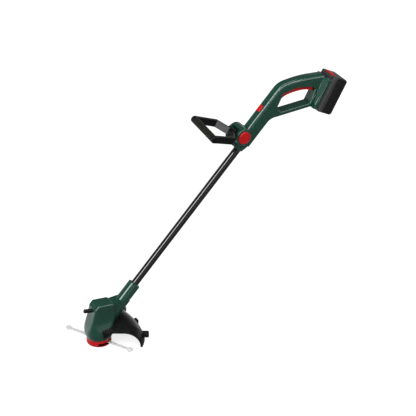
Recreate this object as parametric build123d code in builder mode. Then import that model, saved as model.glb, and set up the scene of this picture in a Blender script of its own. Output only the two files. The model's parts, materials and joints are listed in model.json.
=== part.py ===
from build123d import *
from math import asin, cos, degrees, radians, sin, tan
import os

# Battery string trimmer, in millimetres and degrees.
# The origin is the middle of the cutting head's underside, on the spindle.
# +Z runs up the spindle, +X back towards the user, and -Y is the user's left.

os.makedirs("parts", exist_ok=True)

# ---------------------------------------------------------------- clearances
fit_gap = 0.1       # between two pieces of one body that fit in each other
move_gap = 0.4      # between two bodies that move past each other
run_gap = 0.06      # radial, of a pin or shaft that turns in a hole
loose_gap = 0.8     # round a piece that drops into a moulded pocket

# ---------------------------------------------------------------- shaft tube
lean = 45.0             # the tube's angle above the ground
axis_height = 40.0      # where the tube's axis meets the spindle
tube_d = 25.0
tube_wall = 1.5
neck_end = 198.0        # from the spindle to the mouth of the neck, along the tube
tube_bare = 537.0       # bare tube between the neck and the handle
tube_in_neck = 80.0
tube_in_handle = 110.0
tube_pin_r = 1.5        # cross pins that hold the tube
tube_pin_half = 15.0
tube_pin_up = 9.0       # above the tube's axis

# ------------------------------------------------------------- cutting rotor
rim_r = 41.0            # the red disc
disc_top = 24.0
rim_wall = 2.2
disc_plate = 4.0
rim_lift = 1.0          # the rim's lower edge above the ground
disc_hub_r = 9.0
cup_floor = 2.4         # glide cup
cup_hub_r = 23.0
cup_hub_wall = 3.0
cut_r = 130.0           # radius of the circle that the blades cut
blade_azimuth = -61.0   # of the near blade, from +X
blade_w = 9.0
blade_t = 4.6
blade_low = 5.2
blade_bulb_r = 10.5
blade_eye_r = 5.4
pin_circle_r = 30.0
pin_r = 2.5
swing_back = 60.0       # how far a blade folds back behind the disc
window_low = 3.0
window_high = 13.4

# --------------------------------------------------------------------- motor
shaft_r = 3.0
motor_low = 56.0
motor_len = 57.0
motor_r = 19.0
motor_wall = 1.5
magnet_t = 3.4
air_gap = 0.5
end_cap_t = 4.0
bush_r = 6.0
bush_len = 6.0
core_len = 30.0
core_rise = 10.0        # the core's lower face above the can's
winding_over = 6.0      # how far the windings stand out past the core
commutator_r = 6.0
commutator_len = 9.0
brush_w = 4.0

# -------------------------------------------------------------- head housing
wall = 2.5
bell_low = 24.8
# height, reach to the front, reach to the rear, half width, corner radius
lip = (bell_low, 41.5, 41.5, 41.5, 38.0)
belly = (50.0, 46.0, 46.0, 44.5, 38.0)
shoulder = (84.0, 37.0, 50.5, 32.0, 17.0)
waist = (112.0, 27.5, 51.0, 26.0, 8.0)
crown = (162.0, 17.0, 46.5, 24.0, 6.5)
roof_front = (-7.0, 153.5)      # x, z of the roof's front corner
roof_slope = 9.0                # the roof falls towards the rear
brow_slope = 46.0               # the chamfer in front of the roof
roof_edge_r = 6.5
neck_r = 21.2
neck_root = 76.0
neck_mouth_chamfer = 3.6
bracket_half = 19.0
bracket_drop = 17.0             # the bracket's rear edge below the tube's axis
head_screw_spots = ((38.0, 70.0), (-30.0, 70.0), (34.0, 135.0))
neck_screws = (22.0, 58.0)      # back from the neck's mouth
neck_screw_n = 15.0
catch_w = 11.0                  # front catch peg
catch_t = 12.0
catch_len = 30.0
catch_height = 130.0

# --------------------------------------------------------------------- guard
guard_r = 151.0
guard_top = 65.0
guard_flat = 10.5       # how much less the fan reaches straight to the rear
guard_bow = 260.0       # radius of its rear, seen from above
guard_roll = 57.0       # radius of the fan's rolled edge
guard_t = 2.8
guard_lift = 4.0        # the skirt's lower edge above the ground
guard_spread = 48.0     # half the fan's angle at its tips
guard_root = 98.0       # half the angle that its collar wraps
guard_lip = 6.0         # depth of the lip along its cut edges
guard_lip_w = 3.0
collar_low = 37.0
ridge_r = 78.0          # raised arc on the fan
ridge_h = 1.8
lug_azimuth = -31.0
lug_out = 14.0
lug_w = 20.0
lug_low = 18.0
lug_high = 31.0
stop_w = 18.0           # small stop in the middle of the skirt
stop_out = 5.0

# -------------------------------------------------------------------- handle
grip_bend = 45.0        # between the tube and the grip bar
arm_w = 37.0
arm_over = 29.4         # arm's top above the tube's axis
arm_under = 20.6        # arm's underside below it
arm_start = 44.0        # behind the handle's mouth, along the tube
nose_w = 31.0
nose_over = 28.0
nose_start = 16.0
nose_under = 13.6
bend_b = 209.5          # the top outline's corners, a back and b up from the mouth
peak_a = 245.0
peak_b = 215.5
tail_a = 330.0
tail_b = 204.0
bend_r = 60.0
peak_r = 400.0
base_b = 97.0           # underside of the lower bar
base_r = 35.0
floor_b = 112.5         # top of the lower bar
loop_a = 151.0          # the hand opening's front corner
loop_b = 130.0
brow_a = 175.0          # the opening's corners under the grip bar
brow_b = 176.0
ceiling_a = 228.0
ceiling_b = 184.0
back_a = 304.0
back_b = 167.0
heel_a = 282.0
loop_r = 9.0
edge_over_r = 12.0
edge_under_r = 6.0
edge_loop_r = 4.0

# ------------------------------------------------------- adjustable handle
pivot_s = 60.0          # behind the handle's mouth, along the tube
pivot_n = 34.4          # above the tube's axis
barrel_r = 29.5
barrel_half = 31.0
slot_half = 19.5
pivot_r = 5.0
hub_r = 16.5
yoke_in_r = 31.0
yoke_out_r = 41.0
yoke_spread = 32.0      # half the angle of the yoke's wide part
yoke_neck_spread = 20.0
front_reach = 143.5     # pivot to the middle of the grip
front_rise = 23.0       # the front handle's angle above the ground
front_tilt = 18.0       # how far it tilts each way
front_bar_r = 12.0
front_core_r = 8.0
front_half = 69.0
front_arm_h = 26.0
front_slant = 4.5       # the bar's far end is higher than its near end
front_arm_t = 9.0
front_arm_out = 67.0    # outer face of the arms at the grip
front_arm_knee = 60.0   # where the arms turn in, from the pivot
front_arm_knee_out = 61.0
front_arm_root = 38.0
front_arm_edge_r = 2.5
arm_pocket_deep = 1.6       # a long pocket in each arm's inner face
arm_pocket_rim = 4.2
arm_pocket_start = 74.0
bar_end_r = 1.5
bar_hole_r = 6.6            # a blind hole in each end of the bar
bar_hole_deep = 3.0
yoke_edge_r = 3.0
knob_edge_r = 2.5
knob_mark_turn = 20.0
knob_mark_deep = 0.6
knob_spring_r = 7.0
knob_recess = 5.0
yoke_skew = -6.0        # the wide part sits lower than the arms
slot_spare = 8.0
barrel_edge_r = 2.5
jaw_front = 16.0        # the jaw in front of the slot
jaw_over = 33.0
nose_edge_r = 2.5
pivot_head_r = 9.0
pivot_head_t = 3.0
knob_r = 21.4
knob_out = 5.0
knob_press = 3.0
knob_seat = 7.0         # depth of the knob's pocket in the barrel

# -------------------------------------------------------- trigger, lock-off
trigger_w = 14.0
trigger_front = 10.0    # the trigger's front end, ahead of its pin
trigger_front_b = 148.0
trigger_low = 58.0      # its lowest stretch and its end, behind the pin
trigger_low_b = 165.2
trigger_back = 114.0
trigger_back_b = 150.0
trigger_top = 192.0
trigger_pin_in = 27.0   # the pin, behind the hand opening's front corner
trigger_pin_b = 184.0
trigger_pin_r = 2.0
plunger_arm = 44.0      # the switch's plunger, behind the pin
plunger_r = 3.0
switch_w = 13.0
switch_len = 34.0
switch_h = 11.0
lock_s = 166.0          # behind the handle's mouth, along the tube
lock_len = 24.0
lock_w = 15.0
lock_out = 4.5
lock_press = 3.0
lock_flange_t = 1.6
lock_edge_r = 2.0
lock_shelf_n = 8.0      # the shelf under the button's spring
trigger_boss_r = 4.5
trigger_pin_half = 14.0
trigger_edge_r = 2.0
switch_low = trigger_top + 5.5
spring_arm = 84.0       # the trigger's return spring, behind the pin
spring_high = 205.0
spring_r = 4.0
tab_len = 4.0
tab_t = 0.8
lead_b = 202.0          # height of the leads in the grip
lead_side = 8.5         # the red leads, to the far side of the middle
lead_r = 1.2
lead_bend = 4.0
lead_deep = 20.3            # how deep the supply lead runs in the foot
lead_in_head = ((46.0, 0, 107.5), (28.0, 0, 124.0), (12.0, 0, 127.0))

# ----------------------------------------------------------- battery and foot
base_end_a = 292.0      # the lower bar ends inside the foot
hollow_start = 92.0     # the arm is hollow from here back, along the tube
foot_gap = 0.5          # between the foot and the pack's front face
foot_toe = 12.0
foot_knee = 20.0
foot_groove_in = 6.5    # a groove down each side of the foot
foot_groove_w = 2.4
foot_groove_t = 1.2
channel_floor = 4.0
pack_a = 295.0          # lower end of the pack's front face
pack_b = 86.0
pack_tilt = 30.0        # the pack leans back from upright
pack_len = 129.0
pack_w = 75.0
pack_deep = 65.0
pack_cover_deep = 20.0
pack_wall = 2.8
pack_edge_r = 9.0
foot_w = 68.0
foot_low = 3.0
foot_high = 116.0
foot_deep_low = 16.0
foot_deep_high = 15.0
flare_deep = 26.0       # where the grip starts to widen to the foot
flare_low = 75.0
flare_foot_low = 8.0
rail_neck_half = 21.0
rail_head_half = 26.0
rail_rise = 10.0        # the pack's rail above its front face
rail_head_t = 4.0
release_w = 42.0
release_deep = 13.0
release_out = 3.0
release_press = 2.5
cells_per_row = 5
cell_rows = 2
cell_ends = 32.0        # left past both ends of a row for the case and the screws
cell_gap = 1.0
cell_pitch = (pack_len - cell_ends) / cells_per_row
cell_r = (cell_pitch - cell_gap) / 2
cell_len = 65.0
cell_n = 30.8
holder_y = 29.5
holder_t = 5.0
holder_len = pack_len - cell_ends + 3.0
strap_w = 6.0
strap_t = 0.3
pack_bevel_n = 9.0      # the bevel along the sides of the front face
pack_bevel_w = 6.0
pack_side_r = 5.0
pack_boss_r = 4.4
pack_screw_seat = 6.0
rail_len = 88.0
window_len = 27.0
release_n = 11.5
release_in = 12.0
release_t = 12.0
release_edge_r = 2.5
release_recess = 6.0
release_spring_r = 3.0
board_n = 19.4
board_t = 1.6
board_low = 18.0
board_len = pack_len - 37.0
board_half = 30.0
terminal_half = 11.5
terminal_t = 6.0
terminal_tail_t = 3.0
terminal_tail_h = 5.0
terminal_tail_half = 10.5
terminal_reach = 17.0
terminal_blade_deep = 6.0
blade_half = 0.4
clip_len = 14.0
clip_gap = 0.35
clip_t = 0.8

# --------------------------------------------------------------------- screws
screw_r = 2.0
screw_head_r = 3.6
screw_head_t = 2.6
screw_len = 20.0
boss_r = 5.6
screw_top = 9.0         # the heads' undersides, from the middle plane


# ------------------------------------------------------------- derived places
guard_rear = guard_r - guard_flat
trigger_pin_a = loop_a + trigger_pin_in
trigger_front_a = trigger_pin_a - trigger_front
trigger_low_a = trigger_pin_a + trigger_low
trigger_back_a = trigger_pin_a + trigger_back
plunger_a = trigger_pin_a + plunger_arm
spring_a = trigger_pin_a + spring_arm


# ------------------------------------------------------------ shared geometry
lean_cos = cos(radians(lean))
lean_sin = sin(radians(lean))
mouth = neck_end + tube_bare
tube_r = tube_d / 2
rib_t = 3.0
neck_rib_t = 6.0
web_t = 12.0
web_spans = ((tube_in_handle - web_t, tube_in_handle),)
neck_ribs = (neck_end - 12, neck_end - 42, neck_end - 72)
tube_pin_sites = (
    (neck_ribs[1] - neck_rib_t / 2, tube_pin_up),
    (mouth + tube_in_handle - web_t / 2, tube_pin_up),
)


def on_tube(s, n=0.0, y=0.0):
    """The point at a distance s along the tube's axis and n above it."""
    return (s * lean_cos - n * lean_sin, y, axis_height + s * lean_sin + n * lean_cos)


def across_tube(s):
    """A plane across the tube: its x is +Y and its y points above the tube."""
    return Plane(origin=on_tube(s), x_dir=(0, 1, 0), z_dir=(lean_cos, 0, lean_sin))


handle_pitch = radians(lean - grip_bend)
# along the tube and above it, seen from the near side
tube_side = Plane(origin=on_tube(0), x_dir=(lean_cos, 0, lean_sin), z_dir=(0, -1, 0))
# along the grip and above it, from the handle's mouth
grip_side = Plane(origin=on_tube(mouth), x_dir=(cos(handle_pitch), 0, sin(handle_pitch)), z_dir=(0, -1, 0))


def grip_point(a, b, y=0.0):
    """The point a back and b up from the handle's mouth."""
    return grip_side.from_local_coords((a, b, -y))


def from_tube(s, n):
    """Grip coordinates of a point s behind the mouth and n above the tube's axis."""
    bend = radians(grip_bend)
    return (s * cos(bend) - n * sin(bend), s * sin(bend) + n * cos(bend))


pack_lean = radians(pack_tilt)
pack_out_dir = grip_side.from_local_coords((cos(pack_lean), -sin(pack_lean), 0)) - grip_side.origin
pack_up_dir = grip_side.from_local_coords((sin(pack_lean), cos(pack_lean), 0)) - grip_side.origin
# away from the handle and up along the pack, seen from the near side
pack_side = Plane(origin=grip_point(pack_a, pack_b), x_dir=pack_out_dir, z_dir=(0, -1, 0))


def across_pack(t):
    """A plane across the pack at a height t: its x is -Y and its y points away from the handle."""
    return Plane(origin=pack_side.from_local_coords((0, t, 0)), x_dir=(0, -1, 0), z_dir=pack_up_dir)


def polar(radius, azimuth):
    return (radius * cos(radians(azimuth)), radius * sin(radians(azimuth)))


def keep(piece, name):
    """Label a finished piece and write its file."""
    piece.part.label = name
    export_step(piece.part, f"parts/{name}.step")


# ============================================================= cutting rotor
window_half = blade_w / 2 + move_gap
window_back = degrees(asin(((rim_r - pin_circle_r) * sin(radians(swing_back)) + blade_w / 2 + 2) / rim_r))
window_sweep = max(window_back, swing_back)
window_fore = degrees(asin((window_half + 1.2) / rim_r))
blade_azimuths = (blade_azimuth, blade_azimuth + 180)

with BuildPart() as cutting_disc:
    with BuildSketch(Plane.XZ):
        with BuildLine():
            Polyline(
                (shaft_r + fit_gap, blade_low + 4.4),
                (disc_hub_r, blade_low + 4.4),
                (disc_hub_r, disc_top - disc_plate),
                (rim_r - rim_wall, disc_top - disc_plate),
                (rim_r - rim_wall, rim_lift),
                (rim_r, rim_lift),
                (rim_r, disc_top),
                (shaft_r + fit_gap, disc_top),
                close=True,
            )
        make_face()
    revolve(axis=Axis.Z)
    rim_top = edges().filter_by(GeomType.CIRCLE).group_by(Axis.Z)[-1].sort_by(SortBy.RADIUS)[-1]
    fillet(rim_top, radius=rim_wall * 0.8)
    with BuildSketch(Plane.XY.offset(blade_low + blade_t + move_gap)):
        for azimuth in blade_azimuths:
            with Locations(polar(pin_circle_r, azimuth)):
                Circle(blade_eye_r - 0.6)
    extrude(until=Until.NEXT)
    with BuildSketch(Plane.XY.offset(window_low)):
        for azimuth in blade_azimuths:
            sweep_angles = [azimuth + window_fore - (window_fore + window_sweep) * k / 4 for k in range(5)]
            Polygon((0, 0), *[polar(2 * rim_r, angle) for angle in sweep_angles], align=None)
        Circle(rim_r - rim_wall - 1, mode=Mode.SUBTRACT)
    extrude(amount=window_high - window_low, mode=Mode.SUBTRACT)
    with BuildSketch(Plane.XY.offset(blade_low + blade_t)):
        for azimuth in blade_azimuths:
            with Locations(polar(pin_circle_r, azimuth)):
                Circle(pin_r + fit_gap)
    extrude(amount=disc_top - blade_low - blade_t - 1.5, mode=Mode.SUBTRACT)
keep(cutting_disc, "cutting_disc")

nut_r = 5.4
nut_t = 5.0
nut_low = blade_low + 4.4 - nut_t

with BuildPart() as glide_cup:
    with BuildSketch():
        Circle(rim_r - rim_wall - 0.4)
    extrude(amount=cup_floor)
    fillet(edges().group_by(Axis.Z)[0], radius=cup_floor * 0.6)
    with BuildSketch(Plane.XY.offset(cup_floor)):
        Circle(cup_hub_r)
        Circle(cup_hub_r - cup_hub_wall, mode=Mode.SUBTRACT)
    extrude(amount=disc_top - disc_plate - cup_floor)
keep(glide_cup, "glide_cup")

with BuildPart() as disc_nut:
    with BuildSketch(Plane.XY.offset(nut_low)):
        RegularPolygon(radius=nut_r, side_count=6)
        Circle(shaft_r + fit_gap, mode=Mode.SUBTRACT)
    extrude(amount=nut_t)
keep(disc_nut, "disc_nut")

with BuildPart() as blade_pins:
    with BuildSketch(Plane.XY.offset(cup_floor)):
        for azimuth in blade_azimuths:
            with Locations(polar(pin_circle_r, azimuth)):
                Circle(pin_r)
    extrude(amount=disc_top - cup_floor - 1.5)
keep(blade_pins, "blade_pins")

hub_flange_t = 2.4
hub_flange_r = 11.0
bell_hole_r = hub_flange_r + 1.5

with BuildPart() as drive_hub:
    with BuildSketch(Plane.XY.offset(disc_top)):
        Circle(hub_flange_r)
        Circle(shaft_r + fit_gap, mode=Mode.SUBTRACT)
    extrude(amount=hub_flange_t)
    with BuildSketch(Plane.XY.offset(disc_top + hub_flange_t)):
        Circle(shaft_r * 2)
        Circle(shaft_r + fit_gap, mode=Mode.SUBTRACT)
    extrude(amount=11)
keep(drive_hub, "drive_hub")


def blade(azimuth):
    """One plastic blade: an eye on its pin, a tapering bar and a round weight at its end."""
    with BuildPart() as body:
        with BuildSketch(Plane.XY.offset(blade_low)):
            with BuildLine():
                Polyline(
                    (pin_circle_r, -blade_w / 2),
                    (cut_r - blade_bulb_r, -blade_w * 0.42),
                    (cut_r - blade_bulb_r, blade_w * 0.42),
                    (pin_circle_r, blade_w / 2),
                    close=True,
                )
            make_face()
            with Locations((pin_circle_r, 0)):
                Circle(blade_eye_r)
            with Locations((cut_r - blade_bulb_r, 0)):
                Circle(blade_bulb_r)
            with Locations((pin_circle_r, 0)):
                Circle(pin_r + run_gap, mode=Mode.SUBTRACT)
        extrude(amount=blade_t)
        round_edges = edges().filter_by(GeomType.CIRCLE)
        fillet(round_edges.filter_by(lambda e: abs(e.radius - blade_bulb_r) < 0.01), radius=blade_t * 0.4)
        # a groove along each face, which leaves a rib on either side
        groove_len = cut_r - 3 * blade_bulb_r - pin_circle_r - 3 * blade_eye_r
        for height in (blade_low + blade_t, blade_low + 1):
            with BuildSketch(Plane.XY.offset(height)):
                with Locations((pin_circle_r + 2.5 * blade_eye_r + groove_len / 2, 0)):
                    SlotOverall(groove_len, blade_w * 0.4)
            extrude(amount=-1, mode=Mode.SUBTRACT)
    turned = body.part.rotate(Axis.Z, azimuth)
    return turned


for name, azimuth in zip(("blade_near", "blade_far"), blade_azimuths):
    swing_blade = blade(azimuth)
    swing_blade.label = name
    export_step(swing_blade, f"parts/{name}.step")

# ===================================================================== motor
motor_high = motor_low + motor_len
motor_in_r = motor_r - motor_wall
magnet_in_r = motor_in_r - fit_gap - magnet_t
winding_r = magnet_in_r - air_gap
core_low = motor_low + core_rise
core_high = core_low + core_len
brush_low = motor_high - commutator_len
shaft_top = motor_high + end_cap_t + 4

with BuildPart() as motor_shaft:
    with BuildSketch(Plane.XY.offset(nut_low - 0.8)):
        Circle(shaft_r)
    extrude(amount=shaft_top - nut_low + 0.8)
    chamfer(edges().filter_by(GeomType.CIRCLE), length=0.4)
keep(motor_shaft, "motor_shaft")

with BuildPart() as motor_can:
    with BuildSketch(Plane.XY.offset(motor_low)):
        Circle(motor_r)
    extrude(amount=motor_len)
    fillet(edges().group_by(Axis.Z)[0], radius=motor_wall)
    with BuildSketch(Plane.XY.offset(motor_low + motor_wall)):
        Circle(motor_in_r)
    extrude(amount=motor_len, mode=Mode.SUBTRACT)
    with BuildSketch(Plane.XY.offset(motor_low + motor_wall)):
        Circle(bush_r + motor_wall)
    extrude(amount=-bush_len - motor_wall)
    with BuildSketch(Plane.XY.offset(motor_low - bush_len)):
        Circle(bush_r + fit_gap)
    extrude(amount=bush_len + motor_wall + 1, mode=Mode.SUBTRACT)
keep(motor_can, "motor_can")

with BuildPart() as magnets:
    with BuildSketch(Plane.XY.offset(core_low - 4)):
        Circle(motor_in_r - fit_gap)
        Circle(magnet_in_r, mode=Mode.SUBTRACT)
        Rectangle(motor_r * 0.7, 3 * motor_r, mode=Mode.SUBTRACT)
    extrude(amount=core_len + 8)
keep(magnets, "motor_magnets")

with BuildPart() as armature_core:
    with BuildSketch(Plane.XY.offset(core_low)):
        Circle(winding_r)
        Circle(shaft_r + fit_gap, mode=Mode.SUBTRACT)
        with PolarLocations(winding_r, 5):
            SlotCenterPoint((-2, 0), (0.6, 0), 2.6, mode=Mode.SUBTRACT)
    extrude(amount=core_len)
keep(armature_core, "armature_core")

with BuildPart() as windings:
    for start, length in ((core_low - winding_over, winding_over), (core_high, winding_over)):
        with BuildSketch(Plane.XY.offset(start)):
            Circle(winding_r - 1)
            Circle(shaft_r + fit_gap, mode=Mode.SUBTRACT)
        extrude(amount=length)
    fillet(edges().filter_by(GeomType.CIRCLE).group_by(Axis.Z)[0].sort_by(SortBy.RADIUS)[-1], radius=2.5)
    fillet(edges().filter_by(GeomType.CIRCLE).group_by(Axis.Z)[-1].sort_by(SortBy.RADIUS)[-1], radius=2.5)
keep(windings, "armature_windings")

with BuildPart() as commutator:
    with BuildSketch(Plane.XY.offset(brush_low)):
        Circle(commutator_r)
        Circle(shaft_r + fit_gap, mode=Mode.SUBTRACT)
        with PolarLocations(commutator_r, 10):
            Rectangle(1.6, 0.5, mode=Mode.SUBTRACT)
    extrude(amount=commutator_len - 1)
keep(commutator, "commutator")

brush_mid = brush_low + (commutator_len - 1) / 2
brush_in = commutator_r + 0.1
brush_out = motor_in_r - 2.5

with BuildPart() as brushes:
    for side in (-1, 1):
        with Locations((side * (brush_in + brush_out) / 2, 0, brush_mid)):
            Box(brush_out - brush_in, brush_w, brush_w)
keep(brushes, "carbon_brushes")

with BuildPart() as end_cap:
    with BuildSketch(Plane.XY.offset(motor_high)):
        Circle(motor_r - fit_gap)
    extrude(amount=end_cap_t)
    with BuildSketch(Plane.XY.offset(motor_high)):
        Circle(motor_in_r - fit_gap)
    extrude(amount=-2)
    with BuildSketch(Plane.XY.offset(motor_high + end_cap_t)):
        Circle(bush_r + 2)
    extrude(amount=2)
    # a carrier for each brush hangs from the cap
    for side in (-1, 1):
        with Locations((side * (brush_in + brush_out + 2.4) / 2, 0, (brush_low + motor_high) / 2 - 0.4)):
            Box(brush_out - brush_in, brush_w + 3, motor_high - brush_low)
        with Locations((side * (brush_in + brush_out) / 2, 0, brush_mid)):
            Box(brush_out - brush_in, brush_w + 2 * fit_gap, brush_w + 2 * fit_gap, mode=Mode.SUBTRACT)
    with BuildSketch(Plane.XY.offset(brush_low - 2)):
        Circle(commutator_r + 1)
    extrude(amount=motor_high - brush_low + 1, mode=Mode.SUBTRACT)
    with BuildSketch(Plane.XY.offset(motor_high - 3)):
        Circle(bush_r + fit_gap)
    extrude(amount=end_cap_t + 6, mode=Mode.SUBTRACT)
keep(end_cap, "motor_end_cap")

with BuildPart() as bushes:
    for low in (motor_low - bush_len, motor_high + end_cap_t + 2 - bush_len):
        with BuildSketch(Plane.XY.offset(low)):
            Circle(bush_r)
            Circle(shaft_r + run_gap, mode=Mode.SUBTRACT)
        extrude(amount=bush_len)
keep(bushes, "motor_bushes")


# ============================================================== head housing
def roof_outline():
    """Everything under the brow and the roof, seen from the side."""
    x, z = roof_front
    front = x - 4 * waist[1]
    rear = x + 4 * waist[1]
    with BuildSketch(Plane.XZ) as outline:
        with BuildLine():
            Polyline(
                (front, -z),
                (front, z - (x - front) * tan(radians(brow_slope))),
                (x, z),
                (rear, z - (rear - x) * tan(radians(roof_slope))),
                (rear, -z),
                close=True,
            )
        make_face()
    return outline.sketch


def housing_body(inset, rounding=0.0):
    """The housing's outer form, moved inwards by inset."""
    with BuildPart() as body:
        for height, front, rear, half, corner in (lip, belly, shoulder, waist, crown):
            with BuildSketch(Plane.XY.offset(height)):
                with Locations(((rear - front) / 2, 0)):
                    RectangleRounded(front + rear - 2 * inset, 2 * (half - inset), corner - inset)
        loft()
        with BuildSketch(Plane.XZ):
            add(roof_outline())
            offset(amount=-inset, kind=Kind.INTERSECTION)
        extrude(amount=2 * guard_r, both=True, mode=Mode.INTERSECT)
        if rounding:
            upper = faces().filter_by(GeomType.PLANE).filter_by(lambda f: f.normal_at().Z > 0.3)
            fillet(upper.edges(), radius=rounding)
    return body.part


def bracket_body(inset):
    """The web between the housing and the neck."""
    with BuildPart() as body:
        with BuildSketch(Plane.XZ):
            rear_x = 112.0
            low_x = 44.0
            drop = axis_height - bracket_drop / lean_cos
            with BuildLine():
                Polyline(
                    (low_x - 8, low_x + drop),
                    (low_x, low_x + drop),
                    (rear_x, rear_x + drop),
                    (rear_x - 14, rear_x + drop + 14),
                    (low_x - 8, roof_front[1] - 12),
                    close=True,
                )
            make_face()
            offset(amount=-inset, kind=Kind.INTERSECTION)
        extrude(amount=bracket_half - inset, both=True)
        rear_edges = edges().filter_by(lambda e: abs(abs(e.tangent_at(0.5).Z) - lean_sin) < 0.01)
        lowest = rear_edges.filter_by(lambda e: e.length > 60)
        fillet(lowest, radius=6 - inset)
    return body.part


with BuildPart() as head:
    add(housing_body(0, roof_edge_r))
    add(bracket_body(0))
    with BuildSketch(across_tube(neck_root)):
        Circle(neck_r)
    extrude(amount=neck_end - neck_root)
    chamfer(faces().sort_by(Axis((0, 0, 0), (lean_cos, 0, lean_sin)))[-1].edges(), length=neck_mouth_chamfer)

neck_in_r = neck_r - wall
motor_ribs = (motor_low + 4, motor_high - 10)

with BuildPart() as head_hollow:
    add(housing_body(wall))
    with BuildSketch(Plane.XY.offset(bell_low + wall)):
        Rectangle(4 * guard_r, 4 * guard_r)
    extrude(amount=2 * guard_r, mode=Mode.INTERSECT)
    with BuildSketch(across_tube(neck_root + 2)):
        Circle(neck_in_r)
    extrude(amount=neck_end - neck_root - 8)
    for s in neck_ribs:
        with BuildSketch(across_tube(s)):
            Circle(neck_r + 2)
        extrude(amount=-neck_rib_t, mode=Mode.SUBTRACT)
    for height in motor_ribs:
        with BuildSketch(Plane.XY.offset(height)):
            Rectangle(4 * rim_r, 4 * rim_r)
        extrude(amount=rib_t, mode=Mode.SUBTRACT)

neck_screw_sites = [on_tube(neck_end - back, -neck_screw_n)[::2] for back in neck_screws]
head_screw_sites = (*head_screw_spots, *neck_screw_sites)


def screw_row(sites, plane, near_depth):
    """Screws across a split housing, with their heads on the far side."""
    with BuildPart() as row:
        with BuildSketch(plane.offset(-screw_top)):
            with Locations(*sites):
                Circle(screw_head_r)
        extrude(amount=-screw_head_t)
        with BuildSketch(plane.offset(-screw_top)):
            with Locations(*sites):
                Circle(screw_r)
        extrude(amount=near_depth)
        with BuildSketch(plane.offset(-screw_top - screw_head_t)):
            with Locations(*sites):
                RegularPolygon(radius=screw_head_r * 0.5, side_count=6)
        extrude(amount=screw_head_t * 0.5, mode=Mode.SUBTRACT)
    return row


def screw_bosses(sites, plane, reach):
    """Round bosses across the hollow, one at each screw."""
    with BuildPart() as row:
        with BuildSketch(plane):
            with Locations(*sites):
                Circle(boss_r)
        extrude(amount=reach, both=True)
    return row.part


def screw_holes(sites, plane, reach):
    """Clearance for the screws, with a counterbore from the far side."""
    with BuildPart() as row:
        with BuildSketch(plane.offset(-screw_top)):
            with Locations(*sites):
                Circle(screw_head_r + fit_gap)
        extrude(amount=-reach)
        with BuildSketch(plane.offset(-screw_top)):
            with Locations(*sites):
                Circle(screw_r + fit_gap)
        extrude(amount=screw_len + 1)
    return row.part


head_bosses = screw_bosses(head_screw_sites, Plane.XZ, belly[3]) & head.part
head_holes = screw_holes(head_screw_sites, Plane.XZ, 2 * belly[3])

with BuildPart() as tube_space:
    with BuildSketch(across_tube(neck_end - tube_in_neck)):
        Circle(tube_r + fit_gap)
    extrude(amount=tube_in_neck + tube_bare + tube_in_handle)
    with BuildSketch(tube_side):
        with Locations(*tube_pin_sites):
            Circle(tube_pin_r + fit_gap)
    extrude(amount=tube_pin_half + fit_gap, both=True)

with BuildPart() as motor_space:
    with BuildSketch(Plane.XY.offset(motor_low - 0.2)):
        Circle(motor_r + fit_gap)
    extrude(amount=motor_len + end_cap_t + 0.2)
    with BuildSketch(Plane.XY.offset(bell_low - 1)):
        Circle(bell_hole_r)
    extrude(amount=motor_low - bell_low + 1)

with BuildPart() as catch_peg:
    with BuildSketch(Plane.YZ.offset(-waist[1] - catch_len + 6)):
        with Locations((0, catch_height)):
            RectangleRounded(catch_w, catch_t, 3)
    extrude(amount=catch_len + 3)
    peg_front = faces().sort_by(Axis.X)[0]
    fillet(peg_front.edges(), radius=2.2)
catch_solid = catch_peg.part.rotate(Axis((-waist[1], 0, catch_height), (0, 1, 0)), 14)

with BuildPart() as catch_body:
    add(catch_solid)
    add(housing_body(wall), mode=Mode.SUBTRACT)
keep(catch_body, "front_catch")

with BuildPart() as head_whole:
    add(head.part)
    add(head_hollow.part, mode=Mode.SUBTRACT)
    add(head_bosses)
    add(tube_space.part, mode=Mode.SUBTRACT)
    add(motor_space.part, mode=Mode.SUBTRACT)
    add(head_holes, mode=Mode.SUBTRACT)
    add(catch_solid, mode=Mode.SUBTRACT)

with BuildPart() as head_near:
    add(head_whole.part)
    split(bisect_by=Plane.XZ, keep=Keep.TOP)
keep(head_near, "head_shell_near")

with BuildPart() as head_far:
    add(head_whole.part)
    split(bisect_by=Plane.XZ, keep=Keep.BOTTOM)
keep(head_far, "head_shell_far")

head_screws = screw_row(head_screw_sites, Plane.XZ, screw_len)
keep(head_screws, "head_screws")

# ===================================================================== guard
guard_z0 = guard_top - guard_roll


def dome(radius, reach, inset):
    """A flat-topped dome, rolled down at its edge, whose rim reaches x = reach at the rear."""
    with BuildPart() as solid:
        with BuildSketch(Plane.XZ):
            with BuildLine():
                top = Line((0, guard_top - inset), (radius - guard_roll, guard_top - inset))
                roll = RadiusArc(top @ 1, (radius - inset, guard_z0), guard_roll - inset)
                down = Line(roll @ 1, (radius - inset, guard_lift))
                under = Line(down @ 1, (0, guard_lift))
                Line(under @ 1, top @ 0)
            make_face()
        revolve(axis=Axis.Z)
    return Location((reach - radius, 0, 0)) * solid.part


def fan_solid(inset):
    """The space under the fan's skin, moved inwards by inset."""
    return dome(guard_r, guard_r, inset) & dome(guard_bow, guard_rear, inset)


root_x, root_y = polar(belly[2] + 2, guard_root)
tip_x, tip_y = polar(guard_r, guard_spread)


def fan_plan(shrink):
    """The fan seen from above: two straight cut edges that meet the collar."""
    edge_len = ((tip_x - root_x) ** 2 + (tip_y - root_y) ** 2) ** 0.5
    ux, uy = (tip_x - root_x) / edge_len, (tip_y - root_y) / edge_len
    sx, sy = uy * shrink, -ux * shrink
    with BuildSketch() as plan:
        with BuildLine():
            Polyline(
                (root_x + sx, root_y + sy),
                (root_x + sx + 2 * edge_len * ux, root_y + sy + 2 * edge_len * uy),
                (3 * guard_r, 0),
                (root_x + sx + 2 * edge_len * ux, -root_y - sy - 2 * edge_len * uy),
                (root_x + sx, -root_y - sy),
                close=True,
            )
        make_face()
    return plan.sketch


fan_outside = fan_solid(0)

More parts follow.
